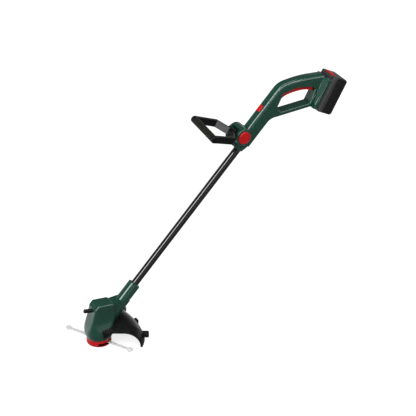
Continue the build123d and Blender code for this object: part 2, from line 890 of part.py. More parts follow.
with BuildPart() as guard:
    add(fan_outside)
    add(fan_solid(guard_lip), mode=Mode.SUBTRACT)
    with BuildSketch():
        add(fan_plan(0))
        add(fan_plan(guard_lip_w), mode=Mode.SUBTRACT)
    extrude(amount=guard_top + 10, mode=Mode.INTERSECT)

with BuildPart() as fan:
    add(fan_outside)
    add(fan_solid(guard_t), mode=Mode.SUBTRACT)
    with BuildSketch(Plane.XY.offset(guard_top)):
        Circle(ridge_r + 1.6)
        Circle(ridge_r - 1.6, mode=Mode.SUBTRACT)
    extrude(amount=ridge_h)
    with BuildSketch():
        add(fan_plan(0))
    extrude(amount=guard_top + 10, mode=Mode.INTERSECT)
    with BuildSketch(Plane.XY.offset(collar_low)):
        with Locations((belly[0] * 2 + root_x, 0)):
            Rectangle(belly[0] * 4, 2 * rim_r + 60)
    collar_box = extrude(amount=guard_top - collar_low, mode=Mode.PRIVATE)

collar = (housing_body(-guard_t - fit_gap) & collar_box) - housing_body(-fit_gap)

with BuildPart() as guard_whole:
    add(fan.part)
    add(guard.part)
    add(collar)
    add(housing_body(-fit_gap), mode=Mode.SUBTRACT)
    add(bracket_body(-fit_gap), mode=Mode.SUBTRACT)
keep(guard_whole, "guard")

with BuildPart() as lugs:
    for azimuth in (lug_azimuth, -lug_azimuth):
        lug_plane = Plane(origin=(*polar(guard_r, azimuth), 0), x_dir=(*polar(1, azimuth), 0))
        with BuildSketch(lug_plane.offset(lug_low)):
            with Locations(((lug_out - lug_w / 2) / 2, 0)):
                RectangleRounded(lug_out + lug_w / 2, lug_w, 3)
        extrude(amount=lug_high - lug_low)
    with BuildSketch(Plane.XY.offset(lug_low)):
        with Locations((guard_rear + stop_out / 2 - 4, 0)):
            RectangleRounded(stop_out + 8, stop_w, 2)
    extrude(amount=lug_high - lug_low)
    add(fan_outside, mode=Mode.SUBTRACT)
keep(lugs, "guard_lugs")

# ================================================================ shaft tube
with BuildPart() as shaft_tube:
    with BuildSketch(across_tube(neck_end - tube_in_neck)):
        Circle(tube_r)
        Circle(tube_r - tube_wall, mode=Mode.SUBTRACT)
    extrude(amount=tube_in_neck + tube_bare + tube_in_handle)
    with BuildSketch(tube_side):
        with Locations(*tube_pin_sites):
            Circle(tube_pin_r + fit_gap)
    extrude(amount=tube_d, both=True, mode=Mode.SUBTRACT)
keep(shaft_tube, "shaft_tube")

with BuildPart() as tube_pins:
    with BuildSketch(tube_side):
        with Locations(*tube_pin_sites):
            Circle(tube_pin_r)
    extrude(amount=tube_pin_half, both=True)
keep(tube_pins, "tube_pins")


# ==================================================================== handle
bend_cos = cos(radians(grip_bend))
bend_sin = sin(radians(grip_bend))
base_s = (base_b + arm_under * bend_cos) / bend_sin
base_corner = from_tube(base_s, -arm_under)
bend_corner = from_tube((bend_b - arm_over * bend_cos) / bend_sin, arm_over)


def grip_coords(point):
    """A world point as a back and b up from the handle's mouth."""
    local = grip_side.to_local_coords(point)
    return local.X, local.Y


def tube_coords(point):
    """A world point as s behind the handle's mouth and n above the tube's axis."""
    a, b = grip_coords(point)
    return a * bend_cos + b * bend_sin, b * bend_cos - a * bend_sin


def on_top(edge):
    """True for the edges along the top of the arm and the grip."""
    s, n = tube_coords(edge @ 0.5)
    a, b = grip_coords(edge @ 0.5)
    return s > arm_start + 1 and (n > 0 or b > tail_b - 3)


def on_base(edge):
    """True for the edges along the underside of the arm and the lower bar."""
    s, n = tube_coords(edge @ 0.5)
    a, b = grip_coords(edge @ 0.5)
    return s > arm_start + 1 and n < 0 and (b < base_b + 6 or s < base_s)


def round_opening(edge):
    """True for the edges round the hand opening."""
    a, b = grip_coords(edge @ 0.5)
    return loop_a - 1 < a < back_a + 1 and floor_b - 1 < b < ceiling_b + 1


def handle_outline(inset):
    """The handle from the side, without the hand opening, moved inwards by inset."""
    with BuildSketch() as outline:
        with BuildLine():
            Polyline(
                from_tube(arm_start, arm_over),
                bend_corner,
                (peak_a, peak_b),
                (tail_a, tail_b),
                (tail_a + 6, tail_b - 14),
                (base_end_a, base_b),
                base_corner,
                from_tube(arm_start, -arm_under),
                close=True,
            )
        make_face()
        for corner, radius in ((bend_corner, bend_r), ((peak_a, peak_b), peak_r), (base_corner, base_r)):
            fillet(vertices().sort_by_distance((*corner, 0))[0], radius=radius)
        offset(amount=-inset, kind=Kind.INTERSECTION)
    return outline.sketch


def hand_opening(grow):
    """The hand opening from the side, widened by grow."""
    with BuildSketch() as outline:
        with BuildLine():
            Polyline(
                (loop_a, loop_b),
                (brow_a, brow_b),
                (ceiling_a, ceiling_b),
                (back_a, back_b),
                (heel_a, floor_b),
                (loop_a + 13, floor_b),
                close=True,
            )
        make_face()
        fillet(vertices(), radius=loop_r)
        offset(amount=grow, kind=Kind.INTERSECTION)
    return outline.sketch


def handle_slab(inset):
    """The arm, grip bar and lower bar as one rounded slab, moved inwards by inset."""
    half = arm_w / 2 - inset

    def on_side(edge):
        return abs((edge @ 0.5).Y) > half - 0.01

    with BuildPart() as slab:
        with BuildSketch(grip_side):
            add(handle_outline(inset))
        extrude(amount=half, both=True)
        fillet(edges().filter_by(on_side).filter_by(on_top), radius=edge_over_r - inset)
        fillet(edges().filter_by(on_side).filter_by(on_base), radius=edge_under_r - inset)
        with BuildSketch(grip_side):
            add(hand_opening(inset))
        extrude(amount=arm_w, both=True, mode=Mode.SUBTRACT)
        if not inset:
            fillet(edges().filter_by(on_side).filter_by(round_opening), radius=edge_loop_r)
    return slab.part


def flare_limit():
    """Everything under the top outline and clear of the hand opening."""
    with BuildPart() as limit:
        with BuildSketch(grip_side):
            add(handle_outline(0))
            with BuildLine():
                Polyline(
                    (tail_a - 40, tail_b),
                    (tail_a, tail_b),
                    (pack_a + pack_len, pack_b),
                    (pack_a - 40, pack_b),
                    close=True,
                )
            make_face()
            add(hand_opening(0), mode=Mode.SUBTRACT)
        extrude(amount=foot_w, both=True)
    return limit.part


def foot_body(inset):
    """The block that carries the pack, moved inwards by inset."""
    with BuildPart() as body:
        with BuildSketch(pack_side):
            with BuildLine():
                Polyline(
                    (-foot_gap, foot_low),
                    (-foot_gap, foot_high),
                    (-foot_deep_high, foot_high),
                    (-foot_deep_low, foot_knee),
                    (-foot_toe, foot_low),
                    close=True,
                )
            make_face()
            offset(amount=-inset, kind=Kind.INTERSECTION)
        extrude(amount=foot_w / 2 - inset, both=True)
    return body.part


def flare_plane(n):
    """A plane along the pack at a depth n: its x is -Y and its y runs up the pack."""
    return Plane(origin=pack_side.from_local_coords((n, 0, 0)), x_dir=(0, -1, 0), z_dir=-pack_out_dir)


def rounded_foot():
    """The foot with its outer edges rounded."""
    with BuildPart() as body:
        add(foot_body(0))
        sides = edges().filter_by(lambda e: abs((e @ 0.5).Y) > foot_w / 2 - 0.01)
        rear = sides.filter_by(lambda e: pack_side.to_local_coords(e @ 0.5).X < -foot_gap - 1)
        fillet(rear, radius=edge_under_r)
        for side in (-1, 1):
            with BuildSketch(across_pack(foot_low + 12)):
                with Locations((side * foot_w / 2, -foot_groove_in)):
                    Rectangle(2 * foot_groove_t, foot_groove_w)
            extrude(amount=foot_high - foot_low - 22, mode=Mode.SUBTRACT)
    return body.part


with BuildPart() as flare:
    flare_ends = ((-foot_deep_high + 1, foot_w - 4, flare_foot_low), (-flare_deep, arm_w - 2, flare_low))
    for n, width, low in flare_ends:
        with BuildSketch(flare_plane(n)):
            with Locations((0, (low + foot_high - 3) / 2)):
                Rectangle(width, foot_high - 3 - low)
    loft()

channel_low = foot_low + channel_floor
channel_n = rail_rise + move_gap

with BuildPart() as channel:
    with BuildSketch(across_pack(channel_low)):
        with Locations((0, -channel_n / 2 + 1)):
            Rectangle(2 * (rail_neck_half + move_gap), channel_n + 2)
        with Locations((0, -rail_rise + rail_head_t / 2)):
            Rectangle(2 * (rail_head_half + move_gap), rail_head_t + 2 * move_gap)
    extrude(amount=foot_high)

with BuildPart() as handle_hollow:
    add(handle_slab(wall))
    add(foot_body(wall))
    # the foot stays solid round the pack's channel
    with BuildSketch(pack_side):
        with Locations((-channel_n - wall + pack_deep / 2, foot_high / 2)):
            Rectangle(pack_deep, 2 * foot_high)
    extrude(amount=foot_w, both=True, mode=Mode.SUBTRACT)
    # the arm is solid round the barrel, and a web closes it behind the tube
    for start, stop in ((-arm_start, hollow_start), *web_spans):
        with BuildSketch(across_tube(mouth + start)):
            Rectangle(2 * arm_w, 4 * arm_w)
        extrude(amount=stop - start, mode=Mode.SUBTRACT)

pivot_point = on_tube(mouth + pivot_s, pivot_n)


def pivot_plane(y):
    """A plane square to the pivot: its x points to the front handle's grip, its y below it."""
    return Plane(
        origin=(pivot_point[0], y, pivot_point[2]),
        x_dir=(-cos(radians(front_rise)), 0, sin(radians(front_rise))),
        z_dir=(0, 1, 0),
    )


def sector(radius, spread):
    """A corner-to-arc sector about the plane's x axis."""
    corner_r = radius / cos(radians(spread / 4))
    Polygon((0, 0), *[polar(corner_r, -spread + spread * k / 2) for k in range(5)], align=None)


slot_sweep = yoke_neck_spread + front_tilt + slot_spare

with BuildPart() as barrel:
    with BuildSketch(tube_side):
        with Locations((mouth + pivot_s, pivot_n)):
            Circle(barrel_r)
    extrude(amount=barrel_half, both=True)
    fillet(edges().filter_by(GeomType.CIRCLE), radius=barrel_edge_r)
    # a saddle joins it to the arm and a jaw closes the front below the slot
    with BuildSketch(tube_side):
        with BuildLine():
            Polyline(
                (mouth + pivot_s - barrel_r, 0),
                (mouth + pivot_s - barrel_r, pivot_n * 0.8),
                (mouth + pivot_s + barrel_r, pivot_n * 0.8),
                (mouth + pivot_s + barrel_r + 12, 0),
                close=True,
            )
        make_face()
    extrude(amount=arm_w / 2, both=True)
    with BuildSketch(tube_side):
        with BuildLine():
            Polyline(
                (mouth + nose_start + 2, nose_over - 8),
                (mouth + jaw_front, jaw_over - 3),
                (mouth + jaw_front + 4, jaw_over),
                (mouth + pivot_s - barrel_r + 8, jaw_over),
                (mouth + pivot_s, 0),
                close=True,
            )
        make_face()
    extrude(amount=nose_w / 2, both=True)

with BuildPart() as barrel_slot:
    with BuildSketch(pivot_plane(-slot_half)):
        Circle(hub_r + move_gap)
        sector(2 * yoke_out_r, slot_sweep)
    extrude(amount=2 * slot_half)

with BuildPart() as nose:
    nose_ends = ((nose_start, nose_w, nose_over, nose_under), (arm_start, arm_w, arm_over, arm_under))
    for s, width, over, under in nose_ends:
        with BuildSketch(across_tube(mouth + s)):
            with Locations((0, (over - under) / 2)):
                RectangleRounded(width, over + under, edge_over_r)
    loft()
    fillet(faces().sort_by(Axis((0, 0, 0), (lean_cos, 0, lean_sin)))[0].edges(), radius=nose_edge_r)

handle_screw_sites = ((83.0, 101.0), (142.0, 114.0), (158.0, 185.0), (306.0, 190.0))
handle_bosses = screw_bosses(handle_screw_sites, grip_side, arm_w / 2 - 1) & handle_slab(0)
handle_holes = screw_holes(handle_screw_sites, grip_side, foot_w)

trigger_half = trigger_w / 2
pocket_half = lock_w / 2 + move_gap
lock_flange_low = arm_over - wall - loose_gap - lock_flange_t

with BuildPart() as handle_pockets:
    # the knob's seat, the pivot pin and its head
    with BuildSketch(pivot_plane(-barrel_half)):
        Circle(knob_r + move_gap)
    extrude(amount=knob_seat)
    with BuildSketch(pivot_plane(-barrel_half + knob_seat + 1)):
        Circle(pivot_r + fit_gap)
    extrude(amount=2 * barrel_half)
    with BuildSketch(pivot_plane(barrel_half - pivot_head_t)):
        Circle(pivot_head_r + fit_gap)
    extrude(amount=2 * pivot_head_t)
    # the trigger's slot
    with BuildSketch(grip_side):
        with BuildLine():
            Polyline(
                (trigger_front_a - 5, trigger_front_b - 4),
                (trigger_front_a - 5, trigger_top),
                (trigger_back_a + 7, trigger_top),
                (trigger_back_a + 7, trigger_back_b + 14),
                (trigger_front_a + 30, trigger_front_b - 4),
                close=True,
            )
        make_face()
    extrude(amount=trigger_half + move_gap, both=True)
    # the lock-off button's opening
    with BuildSketch(tube_side):
        with Locations((mouth + lock_s, arm_over)):
            Rectangle(lock_len + 2 * move_gap, 4 * wall)
    extrude(amount=pocket_half, both=True)
    # the terminal block's tail
    with BuildSketch(pack_side):
        with Locations((-channel_n - wall, channel_low + terminal_tail_t)):
            Rectangle(4 * wall, terminal_tail_h + 2 * fit_gap)
    extrude(amount=terminal_tail_half + fit_gap, both=True)

with BuildPart() as handle_seats:
    # bosses for the trigger's pin
    with BuildSketch(grip_side):
        with Locations((trigger_pin_a, trigger_pin_b)):
            Circle(trigger_boss_r)
    extrude(amount=arm_w / 2 - 1, both=True)
    with BuildSketch(grip_side):
        with Locations((trigger_pin_a, trigger_pin_b)):
            Circle(trigger_boss_r + 1)
    extrude(amount=trigger_half + move_gap, both=True, mode=Mode.SUBTRACT)
    # a cradle that holds the switch against the grip's top
    with BuildSketch(grip_side):
        with Locations((plunger_a, switch_low + switch_h + fit_gap + 5)):
            Rectangle(switch_len - 8, 10)
        with Locations((spring_a, spring_high + fit_gap + 5)):
            Rectangle(3 * spring_r, 10)
    extrude(amount=arm_w / 2 - 1, both=True)
    for a in (plunger_a - switch_len / 4, plunger_a + switch_len / 4):
        with BuildSketch(grip_side):
            with Locations((a, switch_low + switch_h / 2 + 2)):
                Rectangle(rib_t, switch_h + 4)
        extrude(amount=arm_w / 2 - 1, both=True)
    with BuildSketch(grip_side):
        with Locations((plunger_a, switch_low + switch_h / 2 + fit_gap / 2)):
            Rectangle(switch_len + 2, switch_h + fit_gap)
    extrude(amount=switch_w / 2 + fit_gap, both=True, mode=Mode.SUBTRACT)
    # a shelf under the lock-off button's spring
    with BuildSketch(tube_side):
        with Locations((mouth + lock_s, lock_shelf_n - rib_t / 2)):
            Rectangle(lock_len, rib_t)
    extrude(amount=arm_w / 2 - 1, both=True)

handle_envelope = handle_slab(0)

with BuildPart() as handle_whole:
    add(handle_envelope)
    add(nose.part)
    add(barrel.part)
    add(rounded_foot())
    add(flare.part & flare_limit())
    add(handle_hollow.part, mode=Mode.SUBTRACT)
    add(handle_bosses)
    add(handle_seats.part & handle_envelope)
    add(barrel_slot.part, mode=Mode.SUBTRACT)
    add(handle_pockets.part, mode=Mode.SUBTRACT)
    add(tube_space.part, mode=Mode.SUBTRACT)
    add(handle_holes, mode=Mode.SUBTRACT)
    add(channel.part, mode=Mode.SUBTRACT)
    with BuildSketch(grip_side):
        with Locations((trigger_pin_a, trigger_pin_b)):
            Circle(trigger_pin_r + fit_gap)
    extrude(amount=trigger_pin_half + fit_gap, both=True, mode=Mode.SUBTRACT)

with BuildPart() as handle_near:
    add(handle_whole.part)
    split(bisect_by=Plane.XZ, keep=Keep.TOP)
keep(handle_near, "handle_shell_near")

with BuildPart() as handle_far:
    add(handle_whole.part)
    split(bisect_by=Plane.XZ, keep=Keep.BOTTOM)
keep(handle_far, "handle_shell_far")

handle_screws = screw_row(handle_screw_sites, grip_side, screw_len)
keep(handle_screws, "handle_screws")


def coil(plane, radius, wire_r, length, turns):
    """A coil spring that stands on a plane."""
    rise = length - 2.4 * wire_r
    with BuildPart() as upright:
        with BuildLine() as path:
            Helix(pitch=rise / turns, height=rise, radius=radius, center=(0, 0, 1.2 * wire_r))
        with BuildSketch(Plane(origin=path.line @ 0, z_dir=path.line % 0)):
            Circle(wire_r)
        sweep()
    with BuildPart() as spring:
        with Locations(plane.location):
            add(upright.part)
    return spring


# ========================================================== adjustable handle
yoke_half = slot_half - move_gap
sleeve_half = front_arm_out - front_arm_t - 1.5
front_side = Plane(
    origin=pivot_point,
    x_dir=(-cos(radians(front_rise)), 0, sin(radians(front_rise))),
    z_dir=(sin(radians(front_rise)), 0, cos(radians(front_rise))),
)

arm_in_start = (front_arm_knee + front_arm_t * 0.47, front_arm_knee_out - front_arm_t * 0.96)
arm_in_end = (front_reach, front_arm_out - front_arm_t)
arm_pocket_end = front_reach - front_bar_r - arm_pocket_rim


def arm_inner(p):
    """How far the inner face of an arm is from the middle, at a distance p from the pivot."""
    share = (p - arm_in_start[0]) / (arm_in_end[0] - arm_in_start[0])
    return arm_in_start[1] + share * (arm_in_end[1] - arm_in_start[1])


reach_axis = Axis(pivot_point, (cos(radians(front_rise)), 0, -sin(radians(front_rise))))

with BuildPart() as front_loop:
    with BuildSketch(front_side):
        for side in (-1, 1):
            with BuildLine():
                Polyline(
                    (front_arm_root - 6, side * (yoke_half - 6.5)),
                    (front_arm_knee, side * front_arm_knee_out),
                    (front_reach, side * front_arm_out),
                    (arm_in_end[0], side * arm_in_end[1]),
                    (arm_in_start[0], side * arm_in_start[1]),
                    (front_arm_root, side * (yoke_half - 6.5 - front_arm_t * 0.8)),
                    close=True,
                )
            make_face()
    extrude(amount=front_arm_h / 2, both=True)
    fillet(edges(), radius=front_arm_edge_r)
    with BuildSketch(front_side):
        for side in (-1, 1):
            with BuildLine():
                Polyline(
                    (arm_pocket_start, side * (arm_inner(arm_pocket_start) + arm_pocket_deep)),
                    (arm_pocket_end, side * (arm_inner(arm_pocket_end) + arm_pocket_deep)),
                    (arm_pocket_end, side * (arm_inner(arm_pocket_end) - arm_pocket_deep)),
                    (arm_pocket_start, side * (arm_inner(arm_pocket_start) - arm_pocket_deep)),
                    close=True,
                )
            make_face()
    extrude(amount=front_arm_h / 2 - arm_pocket_rim, both=True, mode=Mode.SUBTRACT)
    with BuildSketch(pivot_plane(-front_half)):
        with Locations((front_reach, 0)):
            Circle(front_core_r)
    extrude(amount=2 * front_half)
    for y in (-front_half, sleeve_half + fit_gap):
        with BuildSketch(pivot_plane(y)):
            with Locations((front_reach, 0)):
                Circle(front_bar_r)
        extrude(amount=front_half - sleeve_half - fit_gap)
    bar_ends = faces().sort_by(Axis.Y)
    fillet(bar_ends[0].edges() + bar_ends[-1].edges(), radius=bar_end_r)
    for y in (-front_half, front_half - bar_hole_deep):
        with BuildSketch(pivot_plane(y)):
            with Locations((front_reach, 0)):
                Circle(bar_hole_r)
        extrude(amount=bar_hole_deep, mode=Mode.SUBTRACT)

with BuildPart() as front_frame:
    with BuildSketch(pivot_plane(-yoke_half)):
        Circle(yoke_out_r)
        Circle(yoke_in_r - 0.5, mode=Mode.SUBTRACT)
        with Locations(Rotation(0, 0, yoke_skew)):
            Polygon(
                (0, 0),
                *[polar(2 * yoke_out_r, -yoke_spread + yoke_spread * k / 2) for k in range(5)],
                align=None,
                mode=Mode.INTERSECT,
            )
    extrude(amount=2 * yoke_half)
    fillet(edges().filter_by(Axis.Y), radius=yoke_edge_r)
    with BuildSketch(pivot_plane(-yoke_half)):
        Circle(hub_r)
        sector(yoke_in_r, yoke_neck_spread)
    extrude(amount=2 * yoke_half)
    add(front_loop.part.rotate(reach_axis, front_slant))
    with BuildSketch(pivot_plane(-front_half)):
        Circle(pivot_r + run_gap)
    extrude(amount=2 * front_half, mode=Mode.SUBTRACT)
keep(front_frame, "front_handle_frame")

with BuildPart() as sleeve_tube:
    with BuildSketch(pivot_plane(-sleeve_half)):
        with Locations((front_reach, 0)):
            Circle(front_bar_r)
            Circle(front_core_r + fit_gap, mode=Mode.SUBTRACT)
    extrude(amount=2 * sleeve_half)

with BuildPart() as front_sleeve:
    add(sleeve_tube.part.rotate(reach_axis, front_slant))
keep(front_sleeve, "front_grip_sleeve")

with BuildPart() as pivot_pin:
    with BuildSketch(pivot_plane(-barrel_half + knob_seat + 1.2)):
        Circle(pivot_r)
    extrude(amount=2 * barrel_half - knob_seat - 1.2 - pivot_head_t)
    with BuildSketch(pivot_plane(barrel_half - pivot_head_t)):
        Circle(pivot_head_r)
    extrude(amount=pivot_head_t - 0.4)
    with BuildSketch(pivot_plane(barrel_half - 0.4)):
        RegularPolygon(radius=pivot_r * 0.7, side_count=6)
    extrude(amount=-pivot_head_t, mode=Mode.SUBTRACT)
keep(pivot_pin, "pivot_pin")

knob_t = knob_out + knob_seat - knob_press - move_gap

with BuildPart() as knob:
    with BuildSketch(pivot_plane(-barrel_half - knob_out)):
        Circle(knob_r)
    extrude(amount=knob_t)
    fillet(edges().sort_by(Axis.Y)[0], radius=knob_edge_r)
    with BuildSketch(pivot_plane(-barrel_half - knob_out)):
        with Locations(Rotation(0, 0, knob_mark_turn)):
            SlotOverall(knob_r * 1.3, knob_r * 0.36)
    extrude(amount=knob_mark_deep, mode=Mode.SUBTRACT)
    with BuildSketch(pivot_plane(-barrel_half - knob_out + knob_t)):
        Circle(knob_spring_r + 2)
    extrude(amount=-knob_recess, mode=Mode.SUBTRACT)
keep(knob, "tilt_lock_knob")

knob_spring_len = knob_recess + move_gap - fit_gap
knob_spring_plane = Plane(origin=pivot_plane(-barrel_half + knob_seat - fit_gap).origin, z_dir=(0, -1, 0))
keep(coil(knob_spring_plane, knob_spring_r, 0.6, knob_spring_len, 2.5), "knob_spring")

# ======================================================== trigger and lock-off
with BuildPart() as trigger:
    with BuildSketch(grip_side):
        with BuildLine():
            lower = Spline(
                (trigger_front_a, trigger_front_b),
                (trigger_front_a + 12, trigger_front_b + 10),
                (trigger_front_a + 36, trigger_low_b - 1),
                (trigger_low_a, trigger_low_b),
                (trigger_back_a - 27, trigger_low_b - 3.2),
                (trigger_back_a, trigger_back_b),
            )
            Polyline(
                lower @ 1,
                (trigger_back_a + 2, trigger_back_b + 9),
                (trigger_back_a - 6, trigger_top - 10),
                (spring_a + 6, trigger_top),
                (trigger_front_a + 6, trigger_top),
                (trigger_front_a, trigger_top - 4),
                (trigger_front_a - 3, trigger_front_b + 6),
                lower @ 0,
            )
        make_face()
        with Locations((trigger_pin_a, trigger_pin_b)):
            Circle(trigger_pin_r + run_gap, mode=Mode.SUBTRACT)
    extrude(amount=trigger_half, both=True)
    grip_edges = edges().filter_by(GeomType.BSPLINE)
    fillet(grip_edges, radius=trigger_edge_r)
keep(trigger, "trigger")

with BuildPart() as trigger_pin:
    with BuildSketch(grip_side):
        with Locations((trigger_pin_a, trigger_pin_b)):
            Circle(trigger_pin_r)
    extrude(amount=trigger_pin_half, both=True)
keep(trigger_pin, "trigger_pin")

spring_plane = Plane(origin=grip_point(spring_a, trigger_top + fit_gap))
keep(coil(spring_plane, spring_r, 0.5, spring_high - trigger_top - fit_gap, 5), "trigger_spring")

with BuildPart() as switch_body:
    with BuildSketch(grip_side):
        with Locations((plunger_a, switch_low + switch_h / 2)):
            Rectangle(switch_len, switch_h)
    extrude(amount=switch_w / 2, both=True)
    fillet(edges().filter_by(Axis.Y), radius=1)
    with BuildSketch(Plane(origin=grip_point(plunger_a, switch_low))):
        Circle(plunger_r + run_gap)
    extrude(amount=switch_h - 3, mode=Mode.SUBTRACT)
keep(switch_body, "switch_body")

with BuildPart() as switch_tabs:
    for side in (-1, 1):
        with BuildSketch(grip_side):
            with Locations((plunger_a + side * (switch_len / 2 + tab_len / 2), lead_b)):
                Rectangle(tab_len, tab_t)
        extrude(amount=-lead_side - 1)
keep(switch_tabs, "switch_tabs")

with BuildPart() as plunger:
    with BuildSketch(Plane(origin=grip_point(plunger_a, trigger_top + move_gap))):
        Circle(plunger_r)
    extrude(amount=switch_low - trigger_top - move_gap + 3.5)
    fillet(edges().sort_by(Axis.Z)[0], radius=plunger_r * 0.8)
keep(plunger, "switch_plunger")

with BuildPart() as lock_button:
    with BuildSketch(tube_side):
        with Locations((mouth + lock_s, (arm_over + lock_out + lock_flange_low) / 2)):
            Rectangle(lock_len, arm_over + lock_out - lock_flange_low)
    extrude(amount=lock_w / 2, both=True)
    top_face = faces().sort_by(Axis((0, 0, 0), (-lean_sin, 0, lean_cos)))[-1]
    fillet(top_face.edges(), radius=lock_edge_r)
    with BuildSketch(tube_side):
        with Locations((mouth + lock_s, lock_flange_low + lock_flange_t / 2)):
            Rectangle(lock_len + 4, lock_flange_t)
    extrude(amount=lock_w / 2 + 2, both=True)
keep(lock_button, "lock_off_button")

lock_seat = on_tube(mouth + lock_s, lock_shelf_n + fit_gap)
lock_spring_plane = Plane(origin=lock_seat, z_dir=(-lean_sin, 0, lean_cos))
lock_spring_len = lock_flange_low - lock_press - lock_shelf_n - 2 * fit_gap
keep(coil(lock_spring_plane, spring_r, 0.5, lock_spring_len, 3), "lock_off_spring")

# ==================================================================== battery
def pack_body(inset):
    """The pack's outer form, moved inwards by inset."""
    half = pack_w / 2
    with BuildPart() as body:
        with BuildSketch(pack_side):
            with Locations((pack_deep / 2, pack_len / 2)):
                RectangleRounded(pack_deep - 2 * inset, pack_len - 2 * inset, pack_edge_r - inset)
        extrude(amount=pack_w, both=True)
        with BuildSketch(across_pack(-1)):
            with BuildLine():
                Polyline(
                    (-half, pack_deep),
                    (-half, pack_bevel_n),
                    (-half + pack_bevel_w, 0),
                    (half - pack_bevel_w, 0),
                    (half, pack_bevel_n),
                    (half, pack_deep),
                    close=True,
                )
            make_face()
            offset(amount=-inset, kind=Kind.INTERSECTION)
        extrude(amount=pack_len + 2, mode=Mode.INTERSECT)
    return body.part


def pack_slab(n_from, n_to):
    """Everything between two depths of the pack."""
    with BuildPart() as slab:
        with BuildSketch(pack_side):
            with Locations(((n_from + n_to) / 2, pack_len / 2)):
                Rectangle(n_to - n_from, 2 * pack_len)
        extrude(amount=pack_w, both=True)
    return slab.part


with BuildPart() as pack_outside:
    add(pack_body(0))
    side_edges = edges().filter_by(lambda e: abs((e @ 0.5).Y) > pack_w / 2 - 0.01)
    rear_edges = side_edges.filter_by(lambda e: pack_side.to_local_coords(e @ 0.5).X > pack_bevel_n + 1)
    fillet(rear_edges, radius=pack_side_r)
pack_inside = pack_body(pack_wall)

rail_low = channel_low + move_gap
pack_screw_sites = [(side * (pack_w / 2 - 8.5), t) for side in (-1, 1) for t in (8.0, pack_len - 8.0)]
# seen from the pack's front face: x is -Y and y runs up the pack
pack_face = Plane(origin=pack_side.origin, x_dir=(0, -1, 0), z_dir=-pack_out_dir)

with BuildPart() as pack_bosses:
    with BuildSketch(pack_face):
        with Locations(*pack_screw_sites):
            Circle(pack_boss_r)
    extrude(amount=-pack_deep)

with BuildPart() as pack_holes:
    with BuildSketch(pack_face.offset(-pack_screw_seat)):
        with Locations(*pack_screw_sites):
            Circle(screw_head_r + fit_gap)
    extrude(amount=2 * pack_screw_seat)
    with BuildSketch(pack_face.offset(-pack_screw_seat)):
        with Locations(*pack_screw_sites):
            Circle(screw_r + fit_gap)
    extrude(amount=-screw_len - 1)

with BuildPart() as pack_cover:
    add(pack_outside.part & pack_slab(0, pack_cover_deep))
    add(pack_inside & pack_slab(0, pack_cover_deep + 1), mode=Mode.SUBTRACT)
    with BuildSketch(across_pack(rail_low)):
        with Locations((0, -rail_rise / 2)):
            Rectangle(2 * rail_neck_half, rail_rise)
        with Locations((0, -rail_rise + rail_head_t / 2)):
            Rectangle(2 * rail_head_half, rail_head_t)
    extrude(amount=rail_len)
    # the window over the contacts, open at its lower end
    with BuildSketch(pack_side):
        with Locations((-rail_rise / 2, rail_low + window_len / 2 - 1)):
            Rectangle(rail_rise + 2 * pack_wall + 1, window_len + 2)
    extrude(amount=terminal_half + loose_gap, both=True, mode=Mode.SUBTRACT)
    # walls round the release button's pocket
    with BuildSketch(pack_side):
        with Locations((release_n, pack_len - release_in / 2)):
            Rectangle(release_deep + 2 * (move_gap + rib_t), release_in + rib_t)
    extrude(amount=release_w / 2 + move_gap + rib_t, both=True)
    cover_share = pack_outside.part & pack_slab(0, pack_cover_deep)
    add(cover_share + pack_slab(-rail_rise - 1, 0), mode=Mode.INTERSECT)
    with BuildSketch(pack_side):
        with Locations((release_n, pack_len - release_in / 2 + rib_t)):
            Rectangle(release_deep + 2 * move_gap, release_in + 2 * rib_t)
    extrude(amount=release_w / 2 + move_gap, both=True, mode=Mode.SUBTRACT)
    add(pack_bosses.part & (pack_outside.part & pack_slab(1, pack_cover_deep)))
    add(pack_holes.part, mode=Mode.SUBTRACT)
keep(pack_cover, "pack_cover")

with BuildPart() as pack_case:
    add(pack_outside.part & pack_slab(pack_cover_deep + fit_gap, pack_deep))
    add(pack_inside, mode=Mode.SUBTRACT)
    add(pack_bosses.part & (pack_outside.part & pack_slab(pack_cover_deep + fit_gap, pack_deep - 1)))
    add(pack_holes.part, mode=Mode.SUBTRACT)
keep(pack_case, "pack_case")

with BuildPart() as pack_screws:
    with BuildSketch(pack_face.offset(-pack_screw_seat)):
        with Locations(*pack_screw_sites):
            Circle(screw_head_r)
    extrude(amount=screw_head_t)
    with BuildSketch(pack_face.offset(-pack_screw_seat)):
        with Locations(*pack_screw_sites):
            Circle(screw_r)
    extrude(amount=-screw_len)
keep(pack_screws, "pack_screws")

cell_sites = [
    (cell_n + row * cell_pitch, pack_len / 2 + (k - (cells_per_row - 1) / 2) * cell_pitch)
    for row in range(cell_rows)
    for k in range(cells_per_row)
]

with BuildPart() as cells:
    with BuildSketch(pack_side):
        with Locations(*cell_sites):
            Circle(cell_r)
    extrude(amount=cell_len / 2, both=True)
keep(cells, "battery_cells")

with BuildPart() as cell_holders:
    for y in (-holder_y, holder_y):
        with BuildSketch(pack_side.offset(-y)):
            with Locations((cell_n + cell_pitch / 2, pack_len / 2)):
                Rectangle(2 * cell_pitch, holder_len)
            with Locations(*cell_sites):
                Circle(cell_r + fit_gap, mode=Mode.SUBTRACT)
        extrude(amount=holder_t / 2, both=True)
keep(cell_holders, "cell_holders")

with BuildPart() as cell_straps:
    for side in (-1, 1):
        with BuildSketch(pack_side.offset(side * (cell_len / 2 + fit_gap))):
            for k in range(cells_per_row):
                with Locations((cell_n + cell_pitch / 2, cell_sites[k][1])):
                    Rectangle(cell_pitch + strap_w, strap_w)
            with Locations((cell_n + (1 + side) / 2 * cell_pitch, pack_len / 2)):
                Rectangle(strap_w, cells_per_row * cell_pitch - cell_pitch + strap_w)
        extrude(amount=side * strap_t)
keep(cell_straps, "cell_straps")

